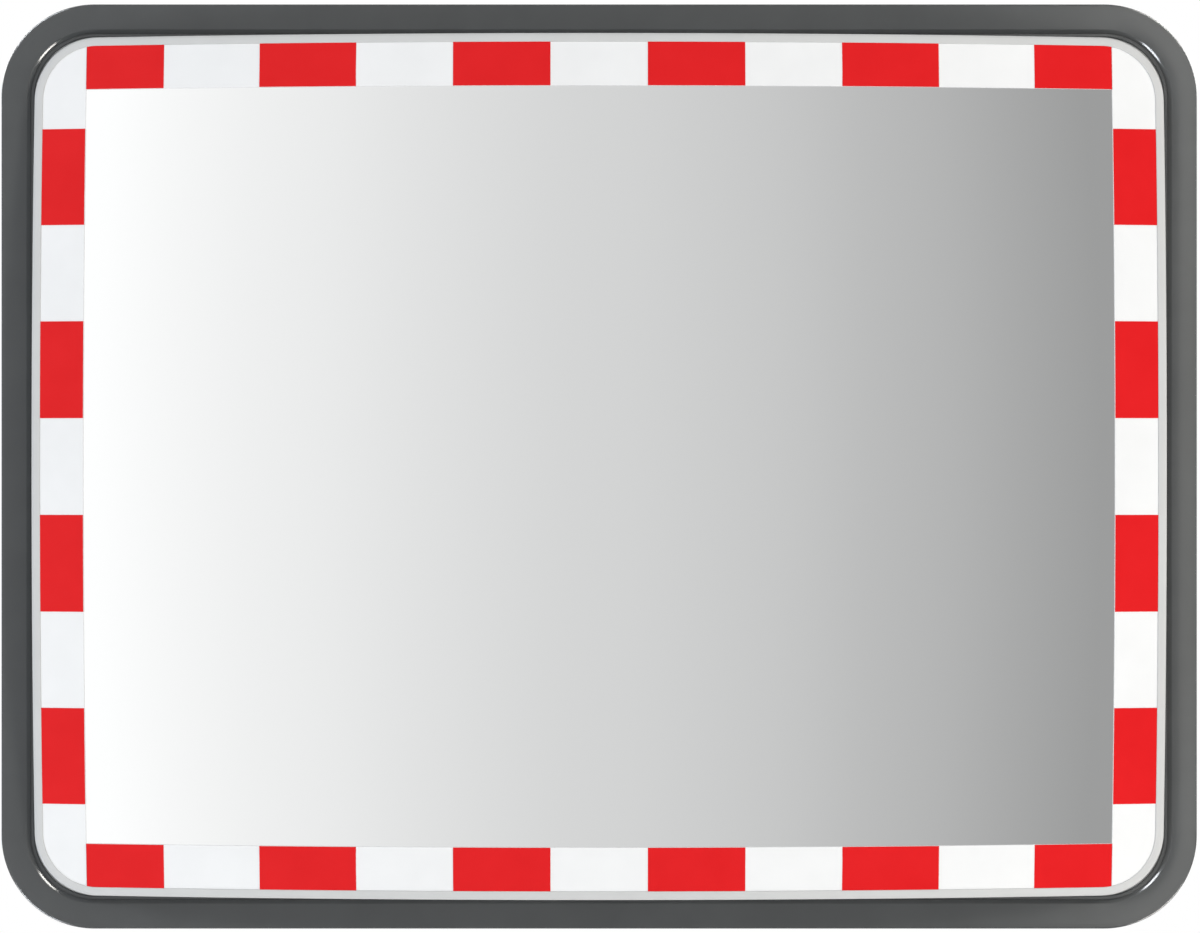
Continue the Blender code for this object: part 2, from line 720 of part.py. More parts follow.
def make_fork(name, inner_width, width, reach, back, axes, material, parts, cutters):
    """A flat bar bent to a U, with round ends about its bolt.

    axes are the direction from its back to the bolt, and the direction of the bolt."""
    half = inner_width / 2
    outer = half + FORK_THICKNESS
    tip = reach + width / 2
    section = [
        (tip + CUT, -outer),
        (tip + CUT, -half),
        (FORK_THICKNESS, -half),
        (FORK_THICKNESS, half),
        (tip + CUT, half),
        (tip + CUT, outer),
        *arc(FORK_BEND, outer - FORK_BEND, FORK_BEND, 90, 180, BEND_STEPS),
        *arc(FORK_BEND, -outer + FORK_BEND, FORK_BEND, 180, 270, BEND_STEPS),
    ]
    fork = into_mesh(add_flat(name, [section], width + 2 * CUT, back, axes, material, parts))
    forward, bolt_way = axes
    plan = [(-CUT, width / 2), (-CUT, -width / 2)]
    plan += arc(reach, 0, width / 2, -90, 90, ROUND_SIDES // 2)
    across = bolt_way.cross(forward)
    limits = add_flat(
        f"{name}_ends", [plan], 2 * (outer + CUT), back, (forward, across), material, cutters
    )
    boolean(fork, into_mesh(limits), "INTERSECT")
    bolt_place = back + forward * reach
    bm = bmesh.new()
    ends = [bolt_place + bolt_way * end * (outer + CUT) for end in (-1, 1)]
    round_rod(bm, PIVOT_THREAD + 2 * GAP, *ends)
    boolean(fork, add_mesh(f"{name}_bore", bm, material, cutters), "DIFFERENCE")
    smooth(fork)
    return fork


def make_clevis(materials, parts, cutters):
    return make_fork(
        "arm_clevis",
        KNUCKLE_HEIGHT + 2 * GAP,
        CLEVIS_WIDTH,
        CLEVIS_REACH,
        Vector((0, CLEVIS_BACK_Y, 0)),
        (-REARWARD, UP),
        materials["coated_steel"],
        parts,
        cutters,
    )


def make_knuckle(materials, parts, cutters):
    """A block with an upright bore and a level one, each in a rounded end."""
    rear_radius, front_radius = KNUCKLE_WIDTH / 2, KNUCKLE_HEIGHT / 2
    plan = [(KNUCKLE_LENGTH + front_radius, rear_radius)]
    plan += arc(0, 0, rear_radius, 90, 270, ROUND_SIDES // 2)
    plan.append((KNUCKLE_LENGTH + front_radius, -rear_radius))
    pan_place = Vector((0, PAN_Y, 0))
    tilt_place = Vector((0, TILT_Y, 0))
    steel = materials["coated_steel"]
    block = add_flat(
        "knuckle", [plan], KNUCKLE_HEIGHT, pan_place, (-REARWARD, RIGHT), steel, parts
    )
    knuckle = into_mesh(block)
    side = [(-KNUCKLE_LENGTH - rear_radius - CUT, front_radius + CUT)]
    side.append((-KNUCKLE_LENGTH - rear_radius - CUT, -front_radius - CUT))
    side.append((0, -front_radius - CUT))
    side.append((0, -front_radius))
    side += arc(0, 0, front_radius, -90, 90, ROUND_SIDES // 2)[1:-1]
    side.append((0, front_radius))
    side.append((0, front_radius + CUT))
    profile = add_flat(
        "knuckle_ends",
        [side],
        KNUCKLE_WIDTH + 2 * CUT,
        tilt_place,
        (-REARWARD, UP),
        steel,
        cutters,
    )
    boolean(knuckle, into_mesh(profile), "INTERSECT")
    bm = bmesh.new()
    pan_end = UP * (KNUCKLE_HEIGHT / 2 + CUT)
    tilt_end = RIGHT * (KNUCKLE_WIDTH / 2 + CUT)
    round_rod(bm, PIVOT_THREAD + 2 * GAP, pan_place - pan_end, pan_place + pan_end)
    round_rod(bm, PIVOT_THREAD + 2 * GAP, tilt_place - tilt_end, tilt_place + tilt_end)
    boolean(knuckle, add_mesh("knuckle_bores", bm, steel, cutters), "DIFFERENCE")
    smooth(knuckle)
    return knuckle


def make_yoke(materials, parts, cutters):
    """A base plate against the shell, with a fork welded to its back."""
    outline = rounded_rectangle(YOKE_BASE_WIDTH, YOKE_BASE_HEIGHT, YOKE_BASE_CORNER_RADIUS)
    holes = four_holes(YOKE_THREAD + 2 * GAP, YOKE_BOLT_PITCH_ACROSS, YOKE_BOLT_PITCH_UP)
    steel = materials["coated_steel"]
    base_place = (0, (YOKE_BACK_Y + YOKE_FRONT_Y) / 2, 0)
    base = add_flat(
        "yoke", [outline, *holes], YOKE_BASE_THICKNESS, base_place, (RIGHT, UP), steel, parts
    )
    yoke = into_mesh(base)
    root = YOKE_BASE_THICKNESS / 2
    fork = make_fork(
        "yoke_fork",
        KNUCKLE_WIDTH + 2 * GAP,
        YOKE_LUG_WIDTH,
        YOKE_REACH + root,
        Vector((0, YOKE_BACK_Y - root, 0)),
        (REARWARD, RIGHT),
        steel,
        cutters,
        cutters,
    )
    boolean(yoke, fork, "UNION")
    smooth(yoke)
    return yoke


# ---------------------------------------------------------------- fasteners


def make_bolt(name, thread, flats, head, length, seat, way, material, parts, cutters):
    """A hexagon bolt: its head's underside is at seat, and its shank runs from there along way."""
    level = way.orthogonal().normalized()
    outline = [hexagon(flats)]
    place = seat - way * head / 2
    head_stock = add_flat(name, outline, head, place, (level, way.cross(level)), material, parts)
    bolt = into_mesh(head_stock)
    bm = bmesh.new()
    round_rod(bm, thread, seat - way * head / 2, seat + way * length)
    boolean(bolt, add_mesh(f"{name}_shank", bm, material, cutters), "UNION")
    smooth(bolt)
    return bolt


def make_ring(name, outer, thread, thickness, seat, way, material, parts):
    """A washer or a nut for a thread, from seat along way."""
    level = way.orthogonal().normalized()
    inner = circle(thread / 2 + GAP)
    place = seat + way * thickness / 2
    return add_flat(
        name, [outer, inner], thickness, place, (level, way.cross(level)), material, parts
    )


def make_pivot_set(prefix, axis_place, way, half_stack, materials, parts, cutters):
    """A bolt through a pivot, with a washer under its head, and a washer and a nut at its end."""
    zinc = materials["zinc"]
    washer = circle(PIVOT_WASHER_DIAMETER / 2)
    washer_start = half_stack + GAP
    clamp_end = washer_start + PIVOT_WASHER + GAP
    nut_end = clamp_end + PIVOT_NUT
    length = clamp_end + nut_end + THREAD_SPARE
    head_seat = axis_place - way * clamp_end
    return [
        make_bolt(
            f"{prefix}_bolt",
            PIVOT_THREAD,
            PIVOT_FLATS,
            PIVOT_HEAD,
            length,
            head_seat,
            way,
            zinc,
            parts,
            cutters,
        ),
        make_ring(
            f"{prefix}_head_washer",
            washer,
            PIVOT_THREAD,
            PIVOT_WASHER,
            axis_place - way * washer_start,
            -way,
            zinc,
            parts,
        ),
        make_ring(
            f"{prefix}_nut_washer",
            washer,
            PIVOT_THREAD,
            PIVOT_WASHER,
            axis_place + way * washer_start,
            way,
            zinc,
            parts,
        ),
        make_ring(
            f"{prefix}_nut",
            hexagon(PIVOT_FLATS),
            PIVOT_THREAD,
            PIVOT_NUT,
            axis_place + way * clamp_end,
            way,
            zinc,
            parts,
        ),
    ]


def make_yoke_fasteners(materials, parts, cutters):
    """Four bolts that clamp the shell between the yoke and the stiffener."""
    zinc = materials["zinc"]
    forward = -REARWARD
    washer_y = YOKE_BACK_Y + GAP
    head_y = washer_y + YOKE_WASHER + GAP
    nut_y = STIFFENER_FRONT_Y - GAP
    length = head_y - nut_y + YOKE_NUT + THREAD_SPARE
    x, z = YOKE_BOLT_PITCH_ACROSS / 2, YOKE_BOLT_PITCH_UP / 2
    made = []
    for number, (side, level) in enumerate(((-1, 1), (1, 1), (-1, -1), (1, -1)), 1):
        spot = Vector((side * x, 0, level * z))
        made += [
            make_bolt(
                f"yoke_bolt_{number}",
                YOKE_THREAD,
                YOKE_FLATS,
                YOKE_HEAD,
                length,
                spot + REARWARD * head_y,
                forward,
                zinc,
                parts,
                cutters,
            ),
            make_ring(
                f"yoke_washer_{number}",
                circle(YOKE_WASHER_DIAMETER / 2),
                YOKE_THREAD,
                YOKE_WASHER,
                spot + REARWARD * washer_y,
                REARWARD,
                zinc,
                parts,
            ),
            make_ring(
                f"yoke_nut_{number}",
                hexagon(YOKE_FLATS),
                YOKE_THREAD,
                YOKE_NUT,
                spot + REARWARD * nut_y,
                forward,
                zinc,
                parts,
            ),
        ]
    return made


# ---------------------------------------------------------------- assembly


def add_axis(name, y, parts, parent=None):
    """An empty on a joint's axis, which carries what turns about it."""
    made = bpy.data.objects.new(name, None)
    parts.objects.link(made)
    made.location.y = y
    if parent:
        hang_on(parent, [made])
    return made


def hang_on(axis, pieces):
    """Parents the pieces to the axis, and leaves them where they are."""
    bpy.context.view_layer.update()
    for piece in pieces:
        piece.parent = axis
        piece.matrix_parent_inverse = axis.matrix_world.inverted()


def main():
    empty_scene()
    parts = new_collection("convex_mirror")
    cutters = new_collection("cutters")
    materials = make_materials()

    make_wall_plate(materials, parts)
    make_arm(materials, parts)
    make_clevis(materials, parts, cutters)
    half_clevis = KNUCKLE_HEIGHT / 2 + GAP + FORK_THICKNESS
    pan_place = Vector((0, PAN_Y, 0))
    make_pivot_set("pan", pan_place, -UP, half_clevis, materials, parts, cutters)

    pan_axis = add_axis("pan_axis", PAN_Y, parts)
    hang_on(pan_axis, [make_knuckle(materials, parts, cutters)])

    tilt_axis = add_axis("tilt_axis", TILT_Y, parts, pan_axis)
    half_yoke = KNUCKLE_WIDTH / 2 + GAP + FORK_THICKNESS
    tilt_place = Vector((0, TILT_Y, 0))
    head = make_pivot_set("tilt", tilt_place, RIGHT, half_yoke, materials, parts, cutters)
    head.append(make_yoke(materials, parts, cutters))
    head += make_yoke_fasteners(materials, parts, cutters)
    head.append(make_stiffener(materials, parts))
    head.append(make_shell(materials, parts, cutters))
    head.append(make_gasket(materials, parts))
    head.append(make_rim(materials, parts))
    head.append(make_edging(materials, parts))
    head.append(make_lens(materials, parts, cutters))
    head += make_white_film(materials, parts, cutters)
    head += make_red_blocks(materials, parts, cutters)
    hang_on(tilt_axis, head)


main()
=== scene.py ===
"""Looks of a rectangular convex mirror with a red and white border, on a wall bracket.

Lengths are in metres. The mirror faces -Y and +Z is up. In the head, an offset is measured
outward from the outline of the reflective film, as the rim, edging and shell are built round it.
"""

import json
import math

import bmesh
import bpy
from mathutils import Matrix, Vector

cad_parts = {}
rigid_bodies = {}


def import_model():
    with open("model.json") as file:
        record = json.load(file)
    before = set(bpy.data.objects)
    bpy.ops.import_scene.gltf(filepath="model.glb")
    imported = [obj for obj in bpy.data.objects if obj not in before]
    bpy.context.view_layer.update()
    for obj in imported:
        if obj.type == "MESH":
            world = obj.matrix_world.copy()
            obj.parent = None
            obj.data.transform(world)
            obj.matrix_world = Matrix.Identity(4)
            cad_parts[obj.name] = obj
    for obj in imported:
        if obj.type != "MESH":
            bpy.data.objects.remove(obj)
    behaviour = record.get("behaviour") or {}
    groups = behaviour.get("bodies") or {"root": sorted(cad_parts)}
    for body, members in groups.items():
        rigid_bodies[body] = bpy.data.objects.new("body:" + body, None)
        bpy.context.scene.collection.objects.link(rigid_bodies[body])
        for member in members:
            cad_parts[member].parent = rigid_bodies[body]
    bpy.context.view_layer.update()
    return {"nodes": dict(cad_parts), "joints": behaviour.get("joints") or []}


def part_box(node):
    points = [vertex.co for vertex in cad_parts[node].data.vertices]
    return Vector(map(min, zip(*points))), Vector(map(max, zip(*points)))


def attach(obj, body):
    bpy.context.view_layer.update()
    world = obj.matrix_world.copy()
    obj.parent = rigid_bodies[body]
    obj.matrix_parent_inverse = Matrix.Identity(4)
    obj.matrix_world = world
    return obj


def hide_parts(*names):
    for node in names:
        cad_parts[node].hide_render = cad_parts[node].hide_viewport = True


for leftover in list(bpy.data.objects):
    bpy.data.objects.remove(leftover)
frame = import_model()

MM = 0.001
FORWARD, REARWARD = Vector((0, -1, 0)), Vector((0, 1, 0))
RIGHT, UP = Vector((1, 0, 0)), Vector((0, 0, 1))

# ---------------- places taken from the frame

rim_low, rim_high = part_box("rim_frame")
edging_back_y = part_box("lens_edging")[1].y
shell_low, shell_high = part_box("rear_shell")
plate_low, plate_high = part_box("wall_plate")
arm_low, arm_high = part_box("arm_tube")
clevis_back_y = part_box("arm_clevis")[1].y
knuckle_low, knuckle_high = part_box("knuckle")
yoke_low, yoke_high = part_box("yoke")
stiffener_low, stiffener_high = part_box("stiffener_plate")
joints = {joint["name"]: Vector(joint["pos_m"]) for joint in frame["joints"]}
pan_place, tilt_place = joints["pan"], joints["tilt"]

# ---------------- sizes

FILM_CORNER = 39.5 * MM  # corner radius of the film, lens and edging's wall, at no offset
HEAD_CORNER = 37 * MM  # of the rim, gasket, shell and edging's flange, at no offset
RIM_REACH = 30 * MM  # rim's outer edge, outside the film's outline
HALF_WIDTH = rim_high.x - RIM_REACH
HALF_HEIGHT = rim_high.z - RIM_REACH
FACE_Y = rim_low.y
CORNER_STEPS = 36
PLATE_CORNER_STEPS = 8

# Dome: a part of a large sphere
DOME_RADIUS = 2650 * MM
DOME_CROWN = 47.2 * MM  # in front of the rim's face
DOME_MIDDLE_Y = FACE_Y - DOME_CROWN + DOME_RADIUS
DOME_CELL = 8 * MM
DOME_SPARE = 20 * MM  # how far the sheet stock runs past the lens

LENS_REACH = 4.1 * MM
LENS_THICKNESS = 3 * MM

# Border: white film on the lens, with red panels on it
FILM_WIDTH = 32.2 * MM
FILM_LIFT = 0.05 * MM
FILM_THICKNESS = 0.85 * MM
PANEL_LIFT = 0.92 * MM
PANEL_THICKNESS = 0.2 * MM
PANEL_GAP = 0.25 * MM
SEAM_X = HALF_WIDTH - FILM_WIDTH
SEAM_Z = HALF_HEIGHT - FILM_WIDTH

# Edging
EDGING_REACH = 5.6 * MM
EDGING_LIP = -0.8 * MM  # offset of the lip's inner edge, which covers the film's edge
EDGING_PROUD = 1.6 * MM
EDGING_SHOULDER = 2.5 * MM
EDGING_LIP_ROUND = 0.5 * MM
EDGING_WALL = 1.5 * MM
EDGING_FLANGE = 2 * MM
SIDE_CUTS = 40
RING_PLAY = 0.04 * MM  # how far a point may be from the ring that it is on

# Rim
RIM_FACE = 20.8 * MM
RIM_WALL = 2 * MM
RIM_FRONT_ROUND = 1.2 * MM
RIM_BACK_ROUND = 3 * MM
RIM_CROWN_ANGLE = 4  # degrees that the face leans at its edges
RIM_SLOPE = 2.8 * MM  # width of the sloping strip along the face's inner edge
RIM_SLOPE_START = 31  # degrees that the strip falls at its outer edge
RIM_SLOPE_END = 39  # and at its inner edge
RIM_SLOPE_ROUND = 0.4 * MM
RIM_LEDGE = 2.7 * MM
RIM_LEDGE_DROP = 3 * MM
RIM_LEDGE_ROUND = 0.9 * MM
RIM_LEDGE_EDGE = 0.6 * MM  # straight part of the ledge's inner edge
RIM_REAR_LIP = 16 * MM

# Shell
SHELL_WALL = 2.5 * MM
SHELL_REACH = 26.7 * MM
SHELL_SIDE = 11.95 * MM  # offset of its side's outer face, at the flange
SHELL_DRAFT = 11 * MM
SHELL_BEND = 1.75 * MM
SHELL_BASE_ROUND = 9.25 * MM
PLATEAU_INSET = 112 * MM
PLATEAU_STEP = 6 * MM
PLATEAU_SLOPE = 5 * MM
PLATEAU_BEND = 1.5 * MM
PLATEAU_CORNER = 25.2 * MM
RIB_WIDTH = 9 * MM
RIB_HEIGHT = 4 * MM
RIB_LENGTH = 74.7 * MM
RIB_MIDDLE = 57.65 * MM  # inside the film's outline
RIB_END_ROUND = 0.45 * RIB_WIDTH
RIB_BACK_ROUND = 0.6 * RIB_HEIGHT
RIB_SPACING_ACROSS = 190 * MM
RIB_SPACING_UP = 150 * MM
DRAIN_DIAMETER = 8 * MM
DRAIN_SPACING = 500 * MM
GASKET_WIDTH = 12 * MM

# Bracket
WALL_HOLE = 11 * MM
WALL_HOLES_ACROSS = 110 * MM
WALL_HOLES_UP = 160 * MM
WALL_PLATE_CORNER = 12 * MM
ARM_RADIUS = 24 * MM
ARM_WALL = 3 * MM
FORK_THICKNESS = 5 * MM
FORK_BEND = 6 * MM
FORK_INNER_BEND = 1.5 * MM
CLEVIS_WIDTH = 56 * MM
CLEVIS_OPENING = 40.6 * MM
YOKE_LUG_WIDTH = 44 * MM
YOKE_OPENING = 36.6 * MM
YOKE_BASE = 4 * MM
YOKE_CORNER = 10 * MM
YOKE_BOLTS_ACROSS = 120 * MM
YOKE_BOLTS_UP = 90 * MM
STIFFENER_CORNER = 12 * MM
EDGE_BREAK = 0.7 * MM
FINE_BREAK = 0.4 * MM
COARSE_BREAK = 1 * MM
WASHER_BREAK = 0.3 * MM
FORK_SINK = 0.2 * MM  # how far the yoke's fork goes into its base
WELD_RADIUS = 2.6 * MM
WELD_SPREAD = 0.6 * MM  # how far a bead's middle is outside the corner that it fills
WELD_RIPPLES = 48  # round the tube
WELD_RIPPLE_LENGTH = 3.2 * MM
WELD_RIPPLE_DEPTH = 0.4 * MM
WELD_CUTS = 3  # in each ripple, which is narrow at one of them
TUBE_WELD_INSET = 0.9 * MM  # from the tube's end
YOKE_WELD_INSET = 1.2 * MM  # from the fork's side
YOKE_WELD_LIFT = 1 * MM

# Fasteners: thread, pitch, width across flats, height of the head
PIVOT_SIZES = (12 * MM, 1.75 * MM, 18 * MM, 7.5 * MM)
YOKE_SIZES = (8 * MM, 1.25 * MM, 13 * MM, 5.3 * MM)
THREAD_PLAY = 0.3 * MM
PIVOT_HOLE = PIVOT_SIZES[0] + 2 * THREAD_PLAY
YOKE_HOLE = YOKE_SIZES[0] + 2 * THREAD_PLAY
THREAD_TOP = 0.6  # pitches from a bolt's end to its first ridge
THREAD_DEPTH = 1.1  # how much narrower a thread's root is, in pitches
HEX_CHAMFER = 30  # degrees
HEX_FLAT_RADIUS = 0.47  # where a chamfer starts, for a width across flats of 1
TURNED_SPARE = 0.1 * MM
ROUND_SIDES = 64
ROD_SIDES = 32
TUBE_SIDES = 96
BORE_LENGTH = 0.2

# Camera and light
VIEW_DISTANCE = 2430 * MM  # camera to the rim's face
VIEW_SIDE = 0.6 * MM
SENSOR_WIDTH = 36.0
FRAME_WIDTH_AT_RIM = 862.9 * MM
FLOOR_DROP = 1000 * MM  # below the rim
FLOOR_RADIUS = 1500 * MM
FLOOR_SIDES = 128
SOFT_LIGHT = 0.43  # from all round
HIGH_WATTS = {"left": 10.7, "right": 13.8}
LOW_WATTS = {"left": 10.6, "right": 13.6}
CARD_WATTS = {"left": 195, "right": 185}
FACE_CARD_WATTS = 10
REAR_WATTS = 16
SOFTBOX_SIZE = (0.6, 0.6)
CARD_SIZE = (1.5, 1.1)
FACE_CARD_SIZE = (2.4, 0.95)
REAR_SOFTBOX_SIZE = (0.7, 0.7)
SOFTBOX_PLACE = (1.45, 1.0, 1.05)  # to the side, in front of the rim's face, and up
CARD_PLACE = (2.2, 2.0, 2.35)
FACE_CARD_PLACE = (1.12, 2.3, 0)
REAR_SOFTBOX_PLACE = (1.3, 1.2, 0.9)  # to the side, behind the wall's face, and up
LIGHT_TINT = {"left": "F4F9FF", "right": "FFFCF6"}  # one side a little cooler than the other

CLEAR_OF_CUT = 2 * MM
STOCK_DEPTH = 10 * MM  # of a block that only lends its back face
CHOICE_PLAY = 1 * MM  # how far off a choice by place may be
TINY = 0.002 * MM
PARALLEL = 0.999  # cosine at which two directions count as one
SMOOTH_ANGLE = 40  # degrees between two faces that look like one
SHELL_SMOOTH_ANGLE = 35
HEX_SMOOTH_ANGLE = 28
BEVEL_PLAY = 0.02 * MM  # left between two bevels that meet


# ---------------- selecting and editing


def pick(*pieces):
    """Selects only these pieces, and makes the first one active."""
    bpy.ops.object.select_all(action="DESELECT")
    for piece in pieces:
        piece.select_set(True)
    bpy.context.view_layer.objects.active = pieces[0]


def start_editing(piece):
    pick(piece)
    bpy.ops.object.mode_set(mode="EDIT")


def stop_editing():
    bpy.ops.object.mode_set(mode="OBJECT")


def middle(item):
    """The middle of an edge or face."""
    return sum((v.co for v in item.verts), Vector()) / len(item.verts)


def choose(kind, test):
    """In edit mode, selects only the vertices, edges or faces that pass the test."""
    bpy.ops.mesh.select_mode(type=kind)
    bpy.ops.mesh.select_all(action="DESELECT")
    piece = bpy.context.object
    shape = bmesh.from_edit_mesh(piece.data)
    for item in {"VERT": shape.verts, "EDGE": shape.edges, "FACE": shape.faces}[kind]:
        if test(item):
            item.select_set(True)
    shape.select_flush_mode()
    bmesh.update_edit_mesh(piece.data)


def runs_along(edge, way):
    """True for an edge that is parallel to the given direction."""
    run = edge.verts[1].co - edge.verts[0].co
    return run.length > 0 and abs(run.normalized().dot(way)) > PARALLEL


def faces_way(normal):
    return lambda face: face.normal.dot(normal) > PARALLEL


def faces_along(way):
    """Chooses the faces at both ends of a direction."""
    return lambda face: abs(face.normal.dot(way)) > PARALLEL


def delete_faces(test):
    choose("FACE", test)
    bpy.ops.mesh.delete(type="FACE")


def extrude(shift):
    bpy.ops.mesh.extrude_region_move(TRANSFORM_OT_translate={"value": tuple(shift)})


def slice_across(place, way, **settings):
    """Cuts all of the piece with a plane."""
    bpy.ops.mesh.select_all(action="SELECT")
    bpy.ops.mesh.bisect(plane_co=place, plane_no=way, **settings)


def round_edges(radius, segments):
    bpy.ops.mesh.bevel(offset=radius, segments=segments, affect="EDGES")


def settle(piece):
    """Puts a piece's place into its mesh and its origin at the frame's origin."""
    pick(piece)
    bpy.ops.object.transform_apply(location=True, rotation=True, scale=True)
    return piece


def named(name):
    """Names the object that was just made, and settles it."""
    piece = bpy.context.object
    piece.name = name
    piece.data.name = name
    return settle(piece)


def apply_modifier(piece, kind, **settings):
    pick(piece)
    step = piece.modifiers.new(kind.lower(), kind)
    for key, value in settings.items():
        setattr(step, key, value)
    bpy.ops.object.modifier_apply(modifier=step.name)


def combine(piece, tool, operation):
    """Joins, cuts or intersects a piece with a tool, which is used up."""
    apply_modifier(piece, "BOOLEAN", operation=operation, object=tool, solver="EXACT")
    bpy.data.objects.remove(tool)


def join(pieces):
    """Makes one object of several, under the name of the first."""
    pick(*pieces)
    bpy.ops.object.join()
    return pieces[0]


def copied(piece, name):
    """A copy with its own mesh."""
    pick(piece)
    bpy.ops.object.duplicate(linked=False)
    return named(name)


def shifted(piece, shift):
    piece.location = shift
    return settle(piece)


def thicken(piece, thickness):
    """Gives an open sheet its wall, behind the side that it faces."""
    apply_modifier(piece, "SOLIDIFY", thickness=thickness, offset=-1, use_even_offset=True)


def upright_cylinder(name, sides, radius, low, high):
    bpy.ops.mesh.primitive_cylinder_add(
        vertices=sides, radius=radius, depth=high - low, location=(0, 0, (low + high) / 2)
    )
    return named(name)


def face_outward(piece):
    start_editing(piece)
    bpy.ops.mesh.select_all(action="SELECT")
    bpy.ops.mesh.remove_doubles(threshold=TINY)
    bpy.ops.mesh.normals_make_consistent(inside=False)
    stop_editing()


def face_sheet(piece, way):
    """Turns an open sheet's faces so that its broad side faces one way."""
    start_editing(piece)
    bpy.ops.mesh.select_all(action="SELECT")
    bpy.ops.mesh.normals_make_consistent(inside=False)
    shape = bmesh.from_edit_mesh(piece.data)
    if sum(face.normal.dot(way) * face.calc_area() for face in shape.faces) < 0:
        bpy.ops.mesh.flip_normals()
    stop_editing()


def smooth(piece, angle=SMOOTH_ANGLE):
    pick(piece)
    bpy.ops.object.shade_smooth_by_angle(angle=math.radians(angle))


def break_edges(piece, width=EDGE_BREAK, segments=2):
    """Rounds every sharp edge a little, as deburring and paint do."""
    apply_modifier(
        piece,
        "BEVEL",
        width=width,
        segments=segments,
        limit_method="ANGLE",
        angle_limit=math.radians(SMOOTH_ANGLE),
    )
    smooth(piece)
    apply_modifier(piece, "WEIGHTED_NORMAL", keep_sharp=True)


# ---------------- shapes built step by step


def bend_steps(radius, start, end, count):
    """Steps round a bend from one heading to another, in degrees. 0 is inward and 90 outward
    along the face's normal. A step is how far it goes inward, and how far along the normal."""
    way = 1 if end > start else -1
    headings = [math.radians(start + (end - start) * i / count) for i in range(count + 1)]
    points = [(way * radius * math.sin(h), -way * radius * math.cos(h)) for h in headings]
    return [(b[0] - a[0], b[1] - a[1]) for a, b in zip(points, points[1:])]


def width_of(steps):
    return sum(inward for inward, along in steps)


def height_of(steps):
    return sum(along for inward, along in steps)


def step_in(steps, normal):
    """Insets or extrudes the chosen face again and again."""
    for inward, along in steps:
        if inward > 0:
            bpy.ops.mesh.inset(thickness=inward, depth=along)
        else:
            extrude(normal * along)


def rounded_block(name, low, high, corner, steps=CORNER_STEPS):
    """A block whose four edges along Y are rounded."""
    bpy.ops.mesh.primitive_cube_add(size=1, location=(low + high) / 2, scale=high - low)
    piece = named(name)
    start_editing(piece)
    choose("EDGE", lambda edge: runs_along(edge, REARWARD))
    round_edges(corner, steps)
    stop_editing()
    return piece


def head_block(name, offset, back_y, front_y, corner=HEAD_CORNER):
    """A block of the head's outline at an offset, from back_y forward to front_y."""
    x, z = HALF_WIDTH + offset, HALF_HEIGHT + offset
    return rounded_block(name, Vector((-x, front_y, -z)), Vector((x, back_y, z)), corner + offset)


def outline_offset(place):
    """How far a point is outside the film's outline."""
    across = abs(place.x) - HALF_WIDTH + FILM_CORNER
    up = abs(place.z) - HALF_HEIGHT + FILM_CORNER
    return math.hypot(max(across, 0), max(up, 0)) + min(max(across, up), 0) - FILM_CORNER


def drill(piece, way, places, diameter):
    """Bores right through a piece at each place, along the given direction."""
    turn = way.to_track_quat("Z", "Y").to_euler()
    bores = []
    for place in places:
        bpy.ops.mesh.primitive_cylinder_add(
            vertices=ROUND_SIDES,
            radius=diameter / 2,
            depth=BORE_LENGTH,
            location=place,
            rotation=turn,
        )
        bores.append(named("bore"))
    combine(piece, join(bores), "DIFFERENCE")


def four_places(across, up, y):
    return [Vector((i * across / 2, y, k * up / 2)) for i in (-1, 1) for k in (1, -1)]


def drill_for_yoke(piece, y):
    drill(piece, REARWARD, four_places(YOKE_BOLTS_ACROSS, YOKE_BOLTS_UP, y), YOKE_HOLE)


# ---------------- dome, lens and border


def make_dome_sheet():
    """A fine flat grid, cast onto the sphere. The lens and its border are cut from copies."""
    x, z = HALF_WIDTH + DOME_SPARE, HALF_HEIGHT + DOME_SPARE
    bpy.ops.mesh.primitive_grid_add(
        x_subdivisions=math.ceil(2 * x / DOME_CELL),
        y_subdivisions=math.ceil(2 * z / DOME_CELL),
        size=2,
        rotation=(math.pi / 2, 0, 0),
    )
    bpy.ops.transform.resize(value=(x, 1, z))
    sheet = named("dome_sheet")
    start_editing(sheet)
    bpy.ops.mesh.select_all(action="SELECT")
    bpy.ops.transform.translate(value=FORWARD * DOME_RADIUS)
    stop_editing()
    apply_modifier(
        sheet,
        "CAST",
        cast_type="SPHERE",
        factor=1,
        size=DOME_RADIUS,
        radius=0,
        use_radius_as_size=False,
    )
    return shifted(sheet, (0, DOME_MIDDLE_Y, 0))


def cut_from_dome(dome, name, lift, thickness, x_range=None, z_range=None, outline=None):
    """A sheet on the dome. Its front is lift + thickness in front of the lens."""
    sheet = copied(dome, name)
    cuts = []
    for limits, way in ((x_range, RIGHT), (z_range, UP)):
        if limits:
            cuts += [(way * limits[0], way), (way * limits[1], -way)]
    start_editing(sheet)
    for place, inner_way in cuts:
        slice_across(place, inner_way, clear_inner=True)
    bpy.ops.mesh.select_all(action="SELECT")
    bpy.ops.transform.translate(value=FORWARD * (lift + thickness))
    stop_editing()
    thicken(sheet, thickness)
    if outline is not None:
        reach = DOME_CROWN + 2 * RIM_FACE
        block = head_block("outline", outline, FACE_Y + reach, FACE_Y - reach, FILM_CORNER)
        combine(sheet, block, "INTERSECT")
    smooth(sheet)
    return sheet


def make_lens(dome):
    lens = cut_from_dome(dome, "mirror_pane", -LENS_THICKNESS, LENS_THICKNESS, outline=LENS_REACH)
    dress(lens, "mirror_head", "mirrored_acrylic", "mirror_lens")


